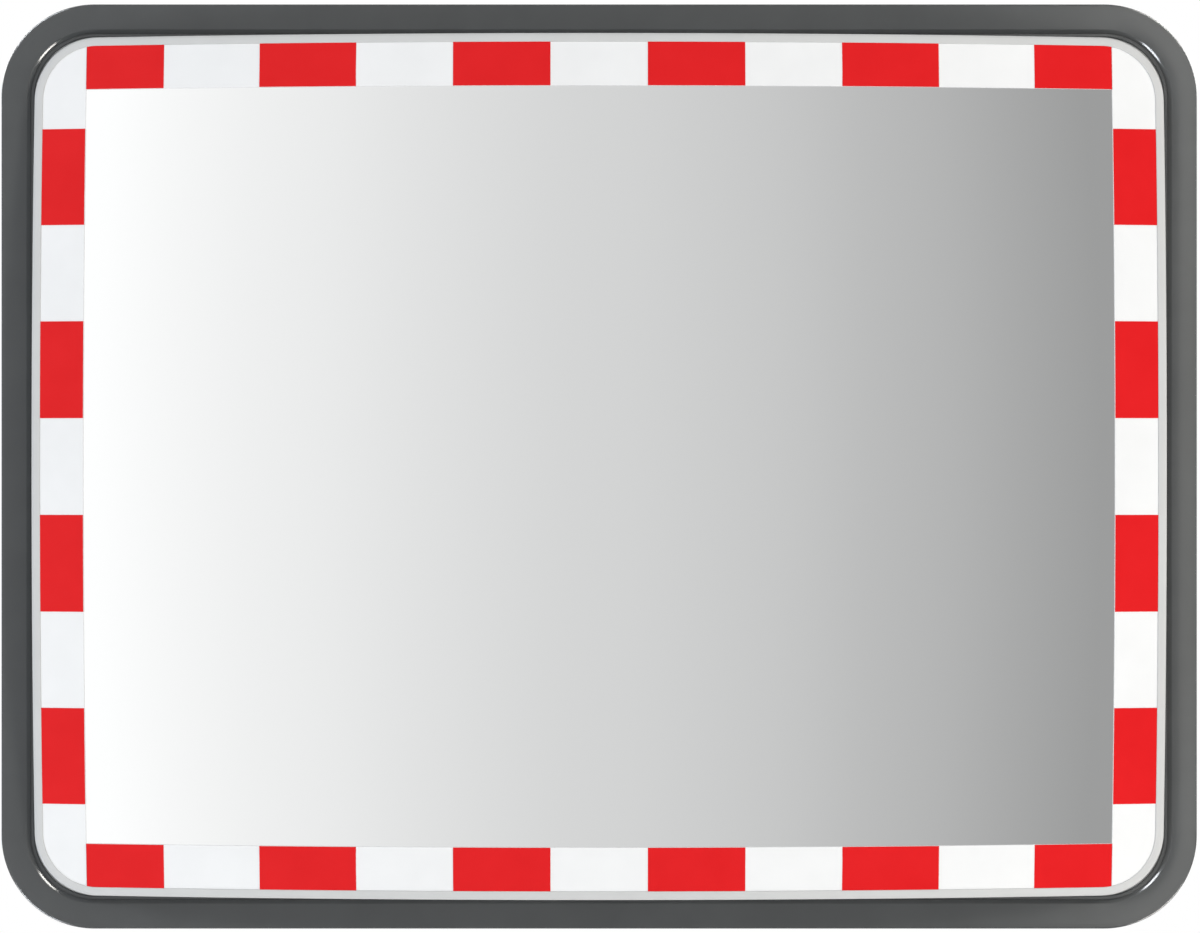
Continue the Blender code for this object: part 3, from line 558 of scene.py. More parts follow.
def make_white_film(dome):
    far_x, far_z = HALF_WIDTH + CLEAR_OF_CUT, HALF_HEIGHT + CLEAR_OF_CUT
    inner_x = SEAM_X - PANEL_GAP
    strips = {
        "left": ((-far_x, -SEAM_X), None),
        "right": ((SEAM_X, far_x), None),
        "top": ((-inner_x, inner_x), (SEAM_Z, far_z)),
        "bottom": ((-inner_x, inner_x), (-far_z, -SEAM_Z)),
    }
    for side, (x_range, z_range) in strips.items():
        strip = cut_from_dome(
            dome, f"film_strip_{side}", FILM_LIFT, FILM_THICKNESS, x_range, z_range, outline=0
        )
        dress(strip, "mirror_head", "white_reflective_film", f"film_{side}")


def make_red_panels(dome):
    """One red panel over each red block of the frame, to its size."""
    for node in sorted(frame["nodes"]):
        if not node.startswith("red_block_"):
            continue
        low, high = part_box(node)
        low = Vector((max(low.x, -HALF_WIDTH), 0, max(low.z, -HALF_HEIGHT)))
        high = Vector((min(high.x, HALF_WIDTH), 0, min(high.z, HALF_HEIGHT)))
        name = node.replace("red_block", "red_panel")
        panel = cut_from_dome(
            dome, name, PANEL_LIFT, PANEL_THICKNESS, (low.x, high.x), (low.z, high.z)
        )
        dress(panel, "mirror_head", "red_reflective_film", node)


def make_edging(dome):
    """A flange and a wall bridged together. The wall is stepped in, and its front laid on the
    dome and raised to the section's heights."""
    flange_y = edging_back_y - EDGING_FLANGE
    wall_front = FACE_Y
    piece = head_block("edging_moulding", SHELL_REACH, edging_back_y, flange_y)
    start_editing(piece)
    delete_faces(faces_along(REARWARD))
    stop_editing()
    wall = head_block("edging_wall", EDGING_REACH, flange_y, wall_front, FILM_CORNER)
    start_editing(wall)
    delete_faces(faces_way(REARWARD))
    long_side = 10 * FILM_CORNER
    choose("EDGE", lambda edge: edge.calc_length() > long_side)
    bpy.ops.mesh.subdivide(number_cuts=SIDE_CUTS)
    stop_editing()
    piece = join([piece, wall])
    start_editing(piece)
    choose("EDGE", lambda edge: edge.is_boundary and abs(middle(edge).y - flange_y) < TINY)
    bpy.ops.mesh.bridge_edge_loops()
    shoulder = bend_steps(EDGING_SHOULDER, 90, 0, 6)
    lip_round = bend_steps(EDGING_LIP_ROUND, 0, -80, 3)
    lip = EDGING_REACH - EDGING_SHOULDER - EDGING_LIP - width_of(lip_round)
    section = shoulder + [(lip, 0)] + lip_round
    faces_front = faces_way(FORWARD)
    choose("FACE", lambda face: faces_front(face) and middle(face).y < wall_front + TINY)
    step_in([(inward, 0) for inward, along in section], FORWARD)
    bpy.ops.mesh.delete(type="ONLY_FACE")
    stop_editing()
    on_dome = piece.vertex_groups.new(name="on_dome")
    chosen = [v.index for v in piece.data.vertices if v.co.y < wall_front + TINY]
    on_dome.add(chosen, 1.0, "REPLACE")
    apply_modifier(
        piece,
        "SHRINKWRAP",
        target=dome,
        wrap_method="PROJECT",
        use_project_y=True,
        use_negative_direction=True,
        use_positive_direction=True,
        vertex_group="on_dome",
    )
    start_editing(piece)
    offset, height = EDGING_REACH, EDGING_PROUD - EDGING_SHOULDER
    for inward, along in [(0, 0)] + section:
        offset -= inward
        height += along
        choose(
            "VERT",
            lambda vert: vert.co.y < flange_y - TINY
            and abs(outline_offset(vert.co) - offset) < RING_PLAY,
        )
        bpy.ops.transform.translate(value=FORWARD * height)
    choose("EDGE", lambda edge: edge.is_boundary and edge.verts[0].co.y < flange_y - TINY)
    extrude(REARWARD * (EDGING_PROUD - EDGING_LIP_ROUND))
    stop_editing()
    face_sheet(piece, FORWARD)
    piece.vertex_groups.clear()
    thicken(piece, EDGING_WALL)
    smooth(piece)
    dress(piece, "mirror_head", "light_grey_plastic", "lens_edging")


# ---------------- rim, gasket and shell


def make_rim():
    """Seen from the front, from the outside in: a round, a face crowned across its width, a
    sloping strip, a wall and a ledge."""
    lean = RIM_CROWN_ANGLE
    outer = bend_steps(RIM_FRONT_ROUND, 90, lean, 8)
    crown_width = RIM_FACE - RIM_SLOPE - width_of(outer)
    crown = bend_steps(crown_width / 2 / math.sin(math.radians(lean)), lean, -lean, 6)
    top = bend_steps(RIM_SLOPE_ROUND, -lean, -RIM_SLOPE_START, 3)
    foot = bend_steps(RIM_SLOPE_ROUND, -RIM_SLOPE_END, -90, 4)
    one_wide = width_of(bend_steps(1, -RIM_SLOPE_START, -RIM_SLOPE_END, 1))
    strip_radius = (RIM_SLOPE - width_of(top + foot)) / one_wide
    strip = bend_steps(strip_radius, -RIM_SLOPE_START, -RIM_SLOPE_END, 6)
    rise = height_of(outer + crown[:3])
    fall = -height_of(crown[3:] + top + strip + foot)
    ledge = [(RIM_LEDGE - RIM_LEDGE_ROUND, 0)] + bend_steps(RIM_LEDGE_ROUND, 0, -90, 5)
    ledge.append((0, -RIM_LEDGE_EDGE))
    section = outer + crown + top + strip + foot + [(0, fall - RIM_LEDGE_DROP)] + ledge
    piece = head_block("rim_moulding", RIM_REACH, rim_high.y - RIM_BACK_ROUND, FACE_Y + rise)
    start_editing(piece)
    choose("FACE", faces_way(FORWARD))
    step_in(section, FORWARD)
    bpy.ops.mesh.delete(type="FACE")
    choose("FACE", faces_way(REARWARD))
    rear = bend_steps(RIM_BACK_ROUND, 90, 0, 6)
    step_in(rear + [(RIM_REAR_LIP - RIM_BACK_ROUND, 0)], REARWARD)
    bpy.ops.mesh.delete(type="FACE")
    stop_editing()
    thicken(piece, RIM_WALL)
    smooth(piece)
    dress(piece, "mirror_head", "dark_grey_plastic", "rim_frame")


def make_gasket():
    low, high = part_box("flange_gasket")
    piece = head_block("gasket_strip", high.x - HALF_WIDTH, high.y, low.y)
    start_editing(piece)
    choose("FACE", faces_along(REARWARD))
    bpy.ops.mesh.inset(thickness=GASKET_WIDTH, use_individual=True)
    bpy.ops.mesh.bridge_edge_loops()
    stop_editing()
    face_outward(piece)
    break_edges(piece, FINE_BREAK)
    dress(piece, "mirror_head", "black_rubber", "flange_gasket")


def make_plateau():
    """The raised middle of the shell's back, as an open sheet stepped in twice."""
    x, z = HALF_WIDTH - PLATEAU_INSET + PLATEAU_SLOPE, HALF_HEIGHT - PLATEAU_INSET + PLATEAU_SLOPE
    back_y = shell_high.y
    panel_y = back_y - PLATEAU_STEP
    low, high = Vector((-x, panel_y - STOCK_DEPTH, -z)), Vector((x, panel_y, z))
    piece = rounded_block("plateau", low, high, PLATEAU_CORNER + PLATEAU_SLOPE)
    slope = math.degrees(math.atan2(PLATEAU_STEP, PLATEAU_SLOPE))
    turn = math.tan(math.radians(slope / 2))
    run = math.hypot(PLATEAU_STEP, PLATEAU_SLOPE) - 2 * PLATEAU_BEND * turn
    straight = (run * math.cos(math.radians(slope)), run * math.sin(math.radians(slope)))
    first, last = bend_steps(PLATEAU_BEND, 0, slope, 4), bend_steps(PLATEAU_BEND, slope, 0, 4)
    section = first + [straight] + last
    start_editing(piece)
    choose("FACE", faces_way(REARWARD))
    step_in(section, REARWARD)
    delete_faces(lambda face: middle(face).y < panel_y - CHOICE_PLAY)
    stop_editing()
    return piece


def make_ribs():
    """Ribs with rounded backs, rooted in the panel."""
    panel_y = shell_high.y - PLATEAU_STEP
    ribs = []
    for side in (-1, 1):
        places = [
            ((step * RIB_SPACING_ACROSS, side * (HALF_HEIGHT - RIB_MIDDLE)), False)
            for step in (-1, 0, 1)
        ]
        places += [
            ((side * (HALF_WIDTH - RIB_MIDDLE), step * RIB_SPACING_UP), True)
            for step in (-0.5, 0.5)
        ]
        for (x, z), level in places:
            size = (RIB_LENGTH, RIB_WIDTH) if level else (RIB_WIDTH, RIB_LENGTH)
            bpy.ops.mesh.primitive_cube_add(
                size=1,
                location=(x, panel_y + (RIB_HEIGHT - SHELL_WALL / 2) / 2, z),
                scale=(size[0], RIB_HEIGHT + SHELL_WALL / 2, size[1]),
            )
            ribs.append(named("rib"))
            start_editing(ribs[-1])
            choose("EDGE", lambda edge: runs_along(edge, REARWARD))
            round_edges(RIB_END_ROUND, 6)
            choose("FACE", faces_way(REARWARD))
            bpy.ops.mesh.region_to_loop()
            round_edges(RIB_BACK_ROUND, 5)
            stop_editing()
    return join(ribs)


def make_shell():
    """A tray stepped back from its flange, bridged to the raised middle, and given its wall."""
    flange_y = shell_low.y + SHELL_WALL
    panel_y = shell_high.y - PLATEAU_STEP
    depth = panel_y - flange_y
    rise = depth - SHELL_BEND - SHELL_BASE_ROUND
    lean = math.degrees(math.atan2(rise, SHELL_DRAFT))
    first = bend_steps(SHELL_BEND, 0, lean, 5)
    last = bend_steps(SHELL_BASE_ROUND, lean, 0, 10)
    side_rise = depth - height_of(first + last)
    side_run = side_rise / math.tan(math.radians(lean))
    flange = SHELL_REACH - SHELL_SIDE - width_of(first)
    section = [(flange, 0)] + first + [(side_run, side_rise)] + last
    piece = head_block("shell_moulding", SHELL_REACH, flange_y, flange_y - STOCK_DEPTH)
    start_editing(piece)
    choose("FACE", faces_way(REARWARD))
    step_in(section, REARWARD)
    bpy.ops.mesh.delete(type="ONLY_FACE")
    delete_faces(lambda face: middle(face).y < flange_y - CHOICE_PLAY)
    stop_editing()
    piece = join([piece, make_plateau()])
    start_editing(piece)
    choose("EDGE", lambda edge: edge.is_boundary and middle(edge).y > panel_y - CHOICE_PLAY)
    bpy.ops.mesh.bridge_edge_loops()
    stop_editing()
    face_sheet(piece, REARWARD)
    thicken(piece, SHELL_WALL)
    combine(piece, make_ribs(), "UNION")
    drill_for_yoke(piece, shell_high.y)
    drain_y = (rim_high.y + panel_y) / 2
    drains = [Vector((side * DRAIN_SPACING / 2, drain_y, -HALF_HEIGHT)) for side in (-1, 1)]
    drill(piece, UP, drains, DRAIN_DIAMETER)
    smooth(piece, SHELL_SMOOTH_ANGLE)
    apply_modifier(piece, "WEIGHTED_NORMAL", keep_sharp=True)
    dress(piece, "mirror_head", "grey_plastic", "rear_shell")


def make_stiffener():
    piece = rounded_block(
        "stiffener_sheet", stiffener_low, stiffener_high, STIFFENER_CORNER, PLATE_CORNER_STEPS
    )
    drill_for_yoke(piece, stiffener_high.y)
    break_edges(piece, FINE_BREAK)
    dress(piece, "mirror_head", "zinc_plated_steel", "stiffener_plate")


# ---------------- bracket


def make_wall_plate():
    piece = rounded_block(
        "wall_plate_coated", plate_low, plate_high, WALL_PLATE_CORNER, PLATE_CORNER_STEPS
    )
    holes = four_places(WALL_HOLES_ACROSS, WALL_HOLES_UP, plate_low.y)
    drill(piece, REARWARD, holes, WALL_HOLE)
    break_edges(piece, COARSE_BREAK, 3)
    dress(piece, "wall_bracket", "grey_coated_steel", "wall_plate")


def weld_ring(radius, y):
    """A weld bead round a tube, with the ripples that its passes leave."""
    bpy.ops.mesh.primitive_torus_add(
        major_radius=radius + WELD_SPREAD,
        minor_radius=WELD_RADIUS,
        major_segments=WELD_CUTS * WELD_RIPPLES,
        minor_segments=12,
        location=(0, y, 0),
        rotation=(math.pi / 2, 0, 0),
    )
    ring = named("weld")
    ripple = 360 / WELD_RIPPLES
    narrow = ripple / WELD_CUTS

    def is_narrow(vert):
        turn = math.degrees(math.atan2(vert.co.z, vert.co.x)) + 180
        return (turn + narrow / 2) % ripple < narrow

    start_editing(ring)
    choose("VERT", is_narrow)
    bpy.ops.transform.shrink_fatten(value=-WELD_RIPPLE_DEPTH)
    stop_editing()
    return ring


def make_arm():
    bpy.ops.mesh.primitive_cylinder_add(
        vertices=TUBE_SIDES,
        radius=ARM_RADIUS,
        depth=arm_high.y - arm_low.y,
        end_fill_type="NOTHING",
        location=(0, (arm_low.y + arm_high.y) / 2, 0),
        rotation=(math.pi / 2, 0, 0),
    )
    tube = named("arm_tube_welded")
    apply_modifier(tube, "SOLIDIFY", thickness=ARM_WALL, offset=-1)
    ends = (arm_high.y - TUBE_WELD_INSET, arm_low.y + TUBE_WELD_INSET)
    piece = join([tube] + [weld_ring(ARM_RADIUS, y) for y in ends])
    smooth(piece)
    dress(piece, "wall_bracket", "grey_coated_steel", "arm_tube")


def make_fork(name, opening, width, reach):
    """A flat bar bent to a U. Its back is at the origin, it opens forward, and its bolt is
    upright."""
    outer = opening + 2 * FORK_THICKNESS
    tip = reach + width / 2
    bpy.ops.mesh.primitive_cube_add(
        size=1, location=(0, -FORK_THICKNESS / 2, 0), scale=(width, FORK_THICKNESS, outer)
    )
    piece = named(name)
    start_editing(piece)
    for level in (-1, 1):
        slice_across((0, 0, level * opening / 2), UP)
    faces_front = faces_way(FORWARD)
    choose("FACE", lambda face: faces_front(face) and abs(middle(face).z) > opening / 2)
    extrude(FORWARD * (tip - FORK_THICKNESS))
    choose("EDGE", lambda edge: runs_along(edge, UP) and middle(edge).y < CHOICE_PLAY - tip)
    round_edges(width / 2 - BEVEL_PLAY, 16)
    bends = ((0, outer / 2, FORK_BEND, 8), (-FORK_THICKNESS, opening / 2, FORK_INNER_BEND, 4))
    for y, z, radius, segments in bends:
        choose(
            "EDGE",
            lambda edge: runs_along(edge, RIGHT)
            and abs(middle(edge).y - y) < TINY
            and abs(abs(middle(edge).z) - z) < TINY,
        )
        round_edges(radius, segments)
    stop_editing()
    face_outward(piece)
    drill(piece, UP, [Vector((0, -reach, 0))], PIVOT_HOLE)
    return piece


def make_clevis():
    reach = clevis_back_y - pan_place.y
    piece = make_fork("clevis_bent", CLEVIS_OPENING, CLEVIS_WIDTH, reach)
    shifted(piece, (0, clevis_back_y, 0))
    break_edges(piece)
    dress(piece, "wall_bracket", "grey_coated_steel", "arm_clevis")


def make_knuckle():
    size = knuckle_high - knuckle_low
    bpy.ops.mesh.primitive_cube_add(size=1, location=(knuckle_low + knuckle_high) / 2, scale=size)
    piece = named("knuckle_block")
    start_editing(piece)
    choose("EDGE", lambda edge: runs_along(edge, UP) and middle(edge).y > pan_place.y)
    round_edges(size.x / 2 - BEVEL_PLAY, 16)
    choose("EDGE", lambda edge: runs_along(edge, RIGHT) and middle(edge).y < tilt_place.y)
    round_edges(size.z / 2 - BEVEL_PLAY, 16)
    stop_editing()
    face_outward(piece)
    drill(piece, UP, [pan_place], PIVOT_HOLE)
    drill(piece, RIGHT, [tilt_place], PIVOT_HOLE)
    break_edges(piece, COARSE_BREAK, 3)
    dress(piece, "swivel_knuckle", "grey_coated_steel", "knuckle")


def straight_weld(length, place):
    """A weld bead along Z, with round ends and the ripples that its passes leave."""
    bpy.ops.mesh.primitive_uv_sphere_add(
        segments=16, ring_count=12, radius=WELD_RADIUS + WELD_SPREAD, location=(0, 0, 0)
    )
    bead = named("weld")
    start_editing(bead)
    for side in (-1, 1):
        choose("VERT", lambda vert: vert.co.z * side > TINY)
        bpy.ops.transform.translate(value=UP * side * (length / 2 - WELD_RADIUS))
    cuts = round((length - 2 * WELD_RADIUS) / WELD_RIPPLE_LENGTH) * WELD_CUTS
    levels = [(i / cuts - 0.5) * (length - 2 * WELD_RADIUS) for i in range(1, cuts)]
    for level in levels:
        slice_across(UP * level, UP)
    narrow = 1 - WELD_RIPPLE_DEPTH / WELD_RADIUS
    for level in levels[::WELD_CUTS]:
        choose("VERT", lambda vert: abs(vert.co.z - level) < TINY)
        bpy.ops.transform.resize(value=(narrow, narrow, 1), center_override=UP * level)
    stop_editing()
    return shifted(bead, place)


def make_yoke():
    """A base plate with a fork welded to its back."""
    base_high = Vector((yoke_high.x, yoke_low.y + YOKE_BASE, yoke_high.z))
    base = rounded_block("yoke_welded", yoke_low, base_high, YOKE_CORNER, PLATE_CORNER_STEPS)
    drill_for_yoke(base, base_high.y)
    reach = tilt_place.y - base_high.y
    fork = make_fork("fork", YOKE_OPENING, YOKE_LUG_WIDTH, reach)
    for turn in ((0, math.pi / 2, 0), (0, 0, math.pi)):
        fork.rotation_euler = turn
        settle(fork)
    shifted(fork, (0, base_high.y - FORK_SINK, 0))
    combine(base, fork, "UNION")
    break_edges(base)
    welds = []
    for side in (-1, 1):
        edge_x = side * (YOKE_OPENING / 2 + FORK_THICKNESS - YOKE_WELD_INSET)
        welds.append(straight_weld(YOKE_LUG_WIDTH, (edge_x, base_high.y + YOKE_WELD_LIFT, 0)))
    piece = join([base] + welds)
    dress(piece, "mirror_head", "grey_coated_steel", "yoke")


# ---------------- fasteners


def hex_blank(name, flats, height, chamfers):
    """A hexagon from z = 0 up, its corners turned off at the given ends."""
    corner = flats / math.sqrt(3)
    radius = corner + TURNED_SPARE
    blank = upright_cylinder(name, 6, corner, 0, height)
    turned = upright_cylinder("turned", ROUND_SIDES, radius, 0, height)
    inward = radius - HEX_FLAT_RADIUS * flats
    start_editing(turned)
    for way in chamfers:
        choose("FACE", faces_way(way))
        bpy.ops.mesh.inset(thickness=inward)
        ring_height = height if way.z > 0 else 0
        outer = corner + TURNED_SPARE / 2
        choose(
            "VERT",
            lambda vert: abs(vert.co.z - ring_height) < TINY
            and math.hypot(vert.co.x, vert.co.y) > outer,
        )
        bpy.ops.transform.translate(value=-way * inward * math.tan(math.radians(HEX_CHAMFER)))
    stop_editing()
    combine(blank, turned, "INTERSECT")
    return blank


def threaded_rod(name, diameter, pitch, low, high, thread_from):
    """A rod along Z. From thread_from up it carries ridges at the thread's pitch."""
    rod = upright_cylinder(name, ROD_SIDES, diameter / 2, low, high)
    start_editing(rod)
    level, levels = high - THREAD_TOP * pitch, []
    while level > thread_from:
        slice_across((0, 0, level), UP)
        levels.append(level)
        level -= pitch / 2
    narrow = 1 - THREAD_DEPTH * pitch / diameter
    for root in levels[1::2] + [high]:
        choose("VERT", lambda vert: abs(vert.co.z - root) < TINY)
        bpy.ops.transform.resize(value=(narrow, narrow, 1), center_override=(0, 0, root))
    stop_editing()
    return rod


def make_bolt(name, flats, head, thread, pitch, length, nut_from):
    """A bolt along Z, its head's underside at z = 0 and its shank up to the given length."""
    bolt = hex_blank(name, flats, head, [-UP])
    shifted(bolt, (0, 0, -head))
    rod = threaded_rod("shank", thread, pitch, -head / 2, length, nut_from)
    combine(bolt, rod, "UNION")
    smooth(bolt, HEX_SMOOTH_ANGLE)
    return bolt


def make_nut(name, flats, height, thread):
    nut = hex_blank(name, flats, height, [UP, -UP])
    drill(nut, UP, [Vector()], thread + 2 * THREAD_PLAY)
    smooth(nut, HEX_SMOOTH_ANGLE)
    return nut


def make_washer(name, diameter, thickness, thread):
    washer = upright_cylinder(name, ROUND_SIDES, diameter / 2, 0, thickness)
    drill(washer, UP, [Vector()], thread + 2 * THREAD_PLAY)
    break_edges(washer, WASHER_BREAK)
    return washer


def place_fastener(pattern, name, seat, way, body, node):
    """A copy of a fastener whose Z is laid along way, with its z = 0 at the seat."""
    piece = copied(pattern, name)
    piece.rotation_euler = way.to_track_quat("Z", "X").to_euler()
    piece.location = seat
    settle(piece)
    dress(piece, body, "zinc_plated_steel", node)


def make_fastener_set(prefix, numbers, axis_places, way, sizes, body, washers):
    """Bolts, nuts and washers to the frame's own places along each bolt."""
    thread, pitch, flats, head = sizes

    def span_of(kind):
        """Where the frame's first one of a kind starts and ends along its bolt."""
        return sorted(corner.dot(way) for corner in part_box(f"{prefix}{kind}{numbers[0]}"))

    def place_each(patterns):
        """Sets copies of the patterns at every bolt, and uses the patterns up."""
        for number, place in zip(numbers, axis_places):
            for pattern, word, kind, level in patterns:
                seat = place - way * place.dot(way) + way * level
                name, node = f"{prefix}{word}{number}", f"{prefix}{kind}{number}"
                place_fastener(pattern, name, seat, way, body, node)
        for pattern, *_ in patterns:
            bpy.data.objects.remove(pattern)

    bolt_start, bolt_end = span_of("bolt")
    nut_start, nut_end = span_of("nut")
    seat = bolt_start + head
    thread_from = nut_start - seat - 2 * pitch
    bolt = make_bolt("bolt_pattern", flats, head, thread, pitch, bolt_end - seat, thread_from)
    nut = make_nut("nut_pattern", flats, nut_end - nut_start, thread)
    place_each([(bolt, "hex_bolt", "bolt", seat), (nut, "hex_nut", "nut", nut_start)])
    for kind in washers:
        start, end = span_of(kind)
        low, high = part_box(f"{prefix}{kind}{numbers[0]}")
        washer = make_washer("washer_pattern", max(high - low), end - start, thread)
        place_each([(washer, f"{kind}_plain", kind, start)])


def make_fasteners():
    pivot_washers = ["head_washer", "nut_washer"]
    for prefix, place, way, body in (
        ("pan_", pan_place, -UP, "wall_bracket"),
        ("tilt_", tilt_place, RIGHT, "mirror_head"),
    ):
        make_fastener_set(prefix, [""], [place], way, PIVOT_SIZES, body, pivot_washers)
    x, z = YOKE_BOLTS_ACROSS / 2, YOKE_BOLTS_UP / 2
    places = [Vector((i * x, 0, k * z)) for k in (1, -1) for i in (-1, 1)]
    numbers = ["_1", "_2", "_3", "_4"]
    make_fastener_set("yoke_", numbers, places, FORWARD, YOKE_SIZES, "mirror_head", ["washer"])


# ---------------- materials


NOISE_RANGE = (0.3, 0.7)  # where nearly all of a noise's values lie


def decoded(level):
    """An sRGB level as a linear one. 1 is white."""
    return level / 12.92 if level <= 0.04045 else ((level + 0.055) / 1.055) ** 2.4


def linear(hex_colour):
    """An sRGB hex colour as linear RGBA."""
    return (*[decoded(int(hex_colour[i : i + 2], 16) / 255) for i in (0, 2, 4)], 1.0)


def add_node(tree, kind, inputs=None, **settings):
    """Adds a node. Each input is a value, or the output of another node."""
    made = tree.nodes.new(kind)
    for key, value in settings.items():
        setattr(made, key, value)
    for key, value in (inputs or {}).items():
        if isinstance(value, bpy.types.NodeSocket):
            tree.links.new(value, made.inputs[key])
        else:
            made.inputs[key].default_value = value
    return made


def per_mm(size):
    """The texture scale at which one feature is about this many millimetres."""
    return 1 / (size * MM)


def start_finish(name, **shader_values):
    made = bpy.data.materials.new(name)
    made.use_nodes = True
    tree = made.node_tree
    shader = tree.nodes["Principled BSDF"]
    for key, value in shader_values.items():
        shader.inputs[key.replace("_", " ")].default_value = value
    place = add_node(tree, "ShaderNodeTexCoord").outputs["Object"]
    return made, tree, shader, place


def noise(tree, place, size, detail=2.0, roughness=0.5):
    inputs = {"Vector": place, "Scale": per_mm(size), "Detail": detail, "Roughness": roughness}
    return add_node(tree, "ShaderNodeTexNoise", inputs).outputs["Fac"]


def spread(tree, value, low, high):
    """A noise's values spread over a range."""
    start, end = NOISE_RANGE
    inputs = {"Value": value, "From Min": start, "From Max": end, "To Min": low, "To Max": high}
    return add_node(tree, "ShaderNodeMapRange", inputs).outputs["Result"]


def two_tone(tree, value, dark, light):
    """A mottle of two colours that follows a value."""
    ramp = add_node(tree, "ShaderNodeValToRGB", {"Fac": value})
    for stop, place, colour in zip(ramp.color_ramp.elements, NOISE_RANGE, (dark, light)):
        stop.position = place
        stop.color = linear(colour)
    return ramp.outputs["Color"]


def raise_bumps(tree, shader, layers):
    """Bumps laid over each other. A layer is a height from 0 to 1 and how tall it is, in mm."""
    normal = None
    for height, tall in layers:
        inputs = {"Height": height, "Distance": tall * MM, "Strength": 1.0}
        if normal:
            inputs["Normal"] = normal
        normal = add_node(tree, "ShaderNodeBump", inputs).outputs["Normal"]
    tree.links.new(normal, shader.inputs["Normal"])


def link(tree, output, shader, name):
    tree.links.new(output, shader.inputs[name])


def cells(tree, place, size, feature="F1"):
    inputs = {"Vector": place, "Scale": per_mm(size)}
    return add_node(tree, "ShaderNodeTexVoronoi", inputs, feature=feature).outputs["Distance"]


def finish(name, mottle, tones, patches, roughness, bumps, **shader_values):
    """A material with two tones mottled over it and an uneven roughness. The mottle and the
    patches are a noise's size in mm, with its detail where that isn't the usual one. A bump is a
    texture, its size and detail or feature, and how tall it is in mm."""
    made, tree, shader, place = start_finish(name, **shader_values)
    link(tree, two_tone(tree, noise(tree, place, *mottle), *tones), shader, "Base Color")
    link(tree, spread(tree, noise(tree, place, *patches), *roughness), shader, "Roughness")
    layers = [(texture(tree, place, *kind), tall) for texture, kind, tall in bumps]
    raise_bumps(tree, shader, layers)
    return made


def metallised_acrylic():
    # Acrylic sheet, metallised on its back and drawn to a dome: a bright, clean reflection
    # with the faintest waviness left by forming.
    made, tree, shader, place = start_finish("metallised_acrylic", Metallic=1.0)
    shader.inputs["Base Color"].default_value = linear("FAFBFB")
    link(tree, spread(tree, noise(tree, place, 60), 0.015, 0.035), shader, "Roughness")
    raise_bumps(tree, shader, [(noise(tree, place, 90, 1.0), 0.01)])
    return made


def beaded_film(name, *tones):
    # Film with glass beads under a clear face: an even matt colour with a fine bead texture.
    # The beads are drawn ten times their real size, so that they show.
    beads = [(cells, (0.7,), 0.015)]
    values = {"IOR": 1.5, "Specular_IOR_Level": 0.15}
    return finish(name, (30,), tones, (5,), (0.14, 0.18), beads, **values)


FINISHES = {
    "mirrored_acrylic": metallised_acrylic(),
    # PVC moulding, extruded and formed: light grey, satin, with a fine draw grain.
    "light_grey_plastic": finish(
        "extruded_pvc", (25,), ("CFD0D0", "D2D3D3"), (4,), (0.42, 0.5),
        [(noise, (0.8, 3.0), 0.02)], IOR=1.5, Specular_IOR_Level=0.2
    ),
    # ABS, injection moulded in a finely sparked tool: dark, satin, with a fine even grain.
    "dark_grey_plastic": finish(
        "satin_abs", (40,), ("444647", "484A4B"), (6,), (0.14, 0.17),
        [(noise, (0.9, 2.0), 0.004)], IOR=1.5
    ),
    # ABS, vacuum formed over a coarsely etched tool: mid grey, dull, with a pebbled grain.
    "grey_plastic": finish(
        "pebbled_abs", (60,), ("6A6D6F", "707375"), (8,), (0.5, 0.6),
        [(noise, (0.8, 3.0), 0.04), (cells, (1.6, "SMOOTH_F1"), 0.12)], IOR=1.5
    ),
    # EPDM strip, extruded: black, dull and slightly dusty.
    "black_rubber": finish(
        "extruded_rubber", (10, 4.0), ("1B1B1C", "2A2A2B"), (3,), (0.7, 0.85),
        [(noise, (0.6, 3.0), 0.05)], IOR=1.5
    ),
    "white_reflective_film": beaded_film("beaded_film_white", "F1F2F3", "F4F5F6"),
    "red_reflective_film": beaded_film("beaded_film_red", "E01C20", "E41F23"),
    # Steel with a baked powder coat: dark grey, satin, with the soft ripple of orange peel.
    "grey_coated_steel": finish(
        "powder_coated_steel", (30,), ("505254", "57595B"), (5,), (0.38, 0.48),
        [(noise, (2.2, 1.0), 0.06), (noise, (0.5, 2.0), 0.01)], IOR=1.5
    ),
    # Steel plated with bright zinc, blue passivated: silver with faint blue and straw clouds.
    "zinc_plated_steel": finish(
        "passivated_zinc", (9, 3.0), ("B9BDC2", "CBC8BF"), (2, 4.0), (0.25, 0.42),
        [(noise, (0.5, 3.0), 0.012)], Metallic=1.0
    ),
}


def dress(piece, body, slot, node):
    """Gives a finished piece its finish and its body, and hides the frame's node that it stands
    for.
    """
    piece.data.materials.clear()
    piece.data.materials.append(FINISHES[slot])
    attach(piece, body)
    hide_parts(node)


# ---------------- floor, light and camera


def make_floor():
    bpy.ops.mesh.primitive_circle_add(
        vertices=FLOOR_SIDES,
        radius=FLOOR_RADIUS,
        fill_type="NGON",
        location=(0, FACE_Y / 2, rim_low.z - FLOOR_DROP),
    )
    floor = named("studio_floor")
    made, tree, shader, place = start_finish("pale_floor", Roughness=0.8)
    link(tree, two_tone(tree, noise(tree, place, 300), "ECEBE9", "EFEEED"), shader, "Base Color")
    floor.data.materials.append(made)
    floor.visible_glossy = False


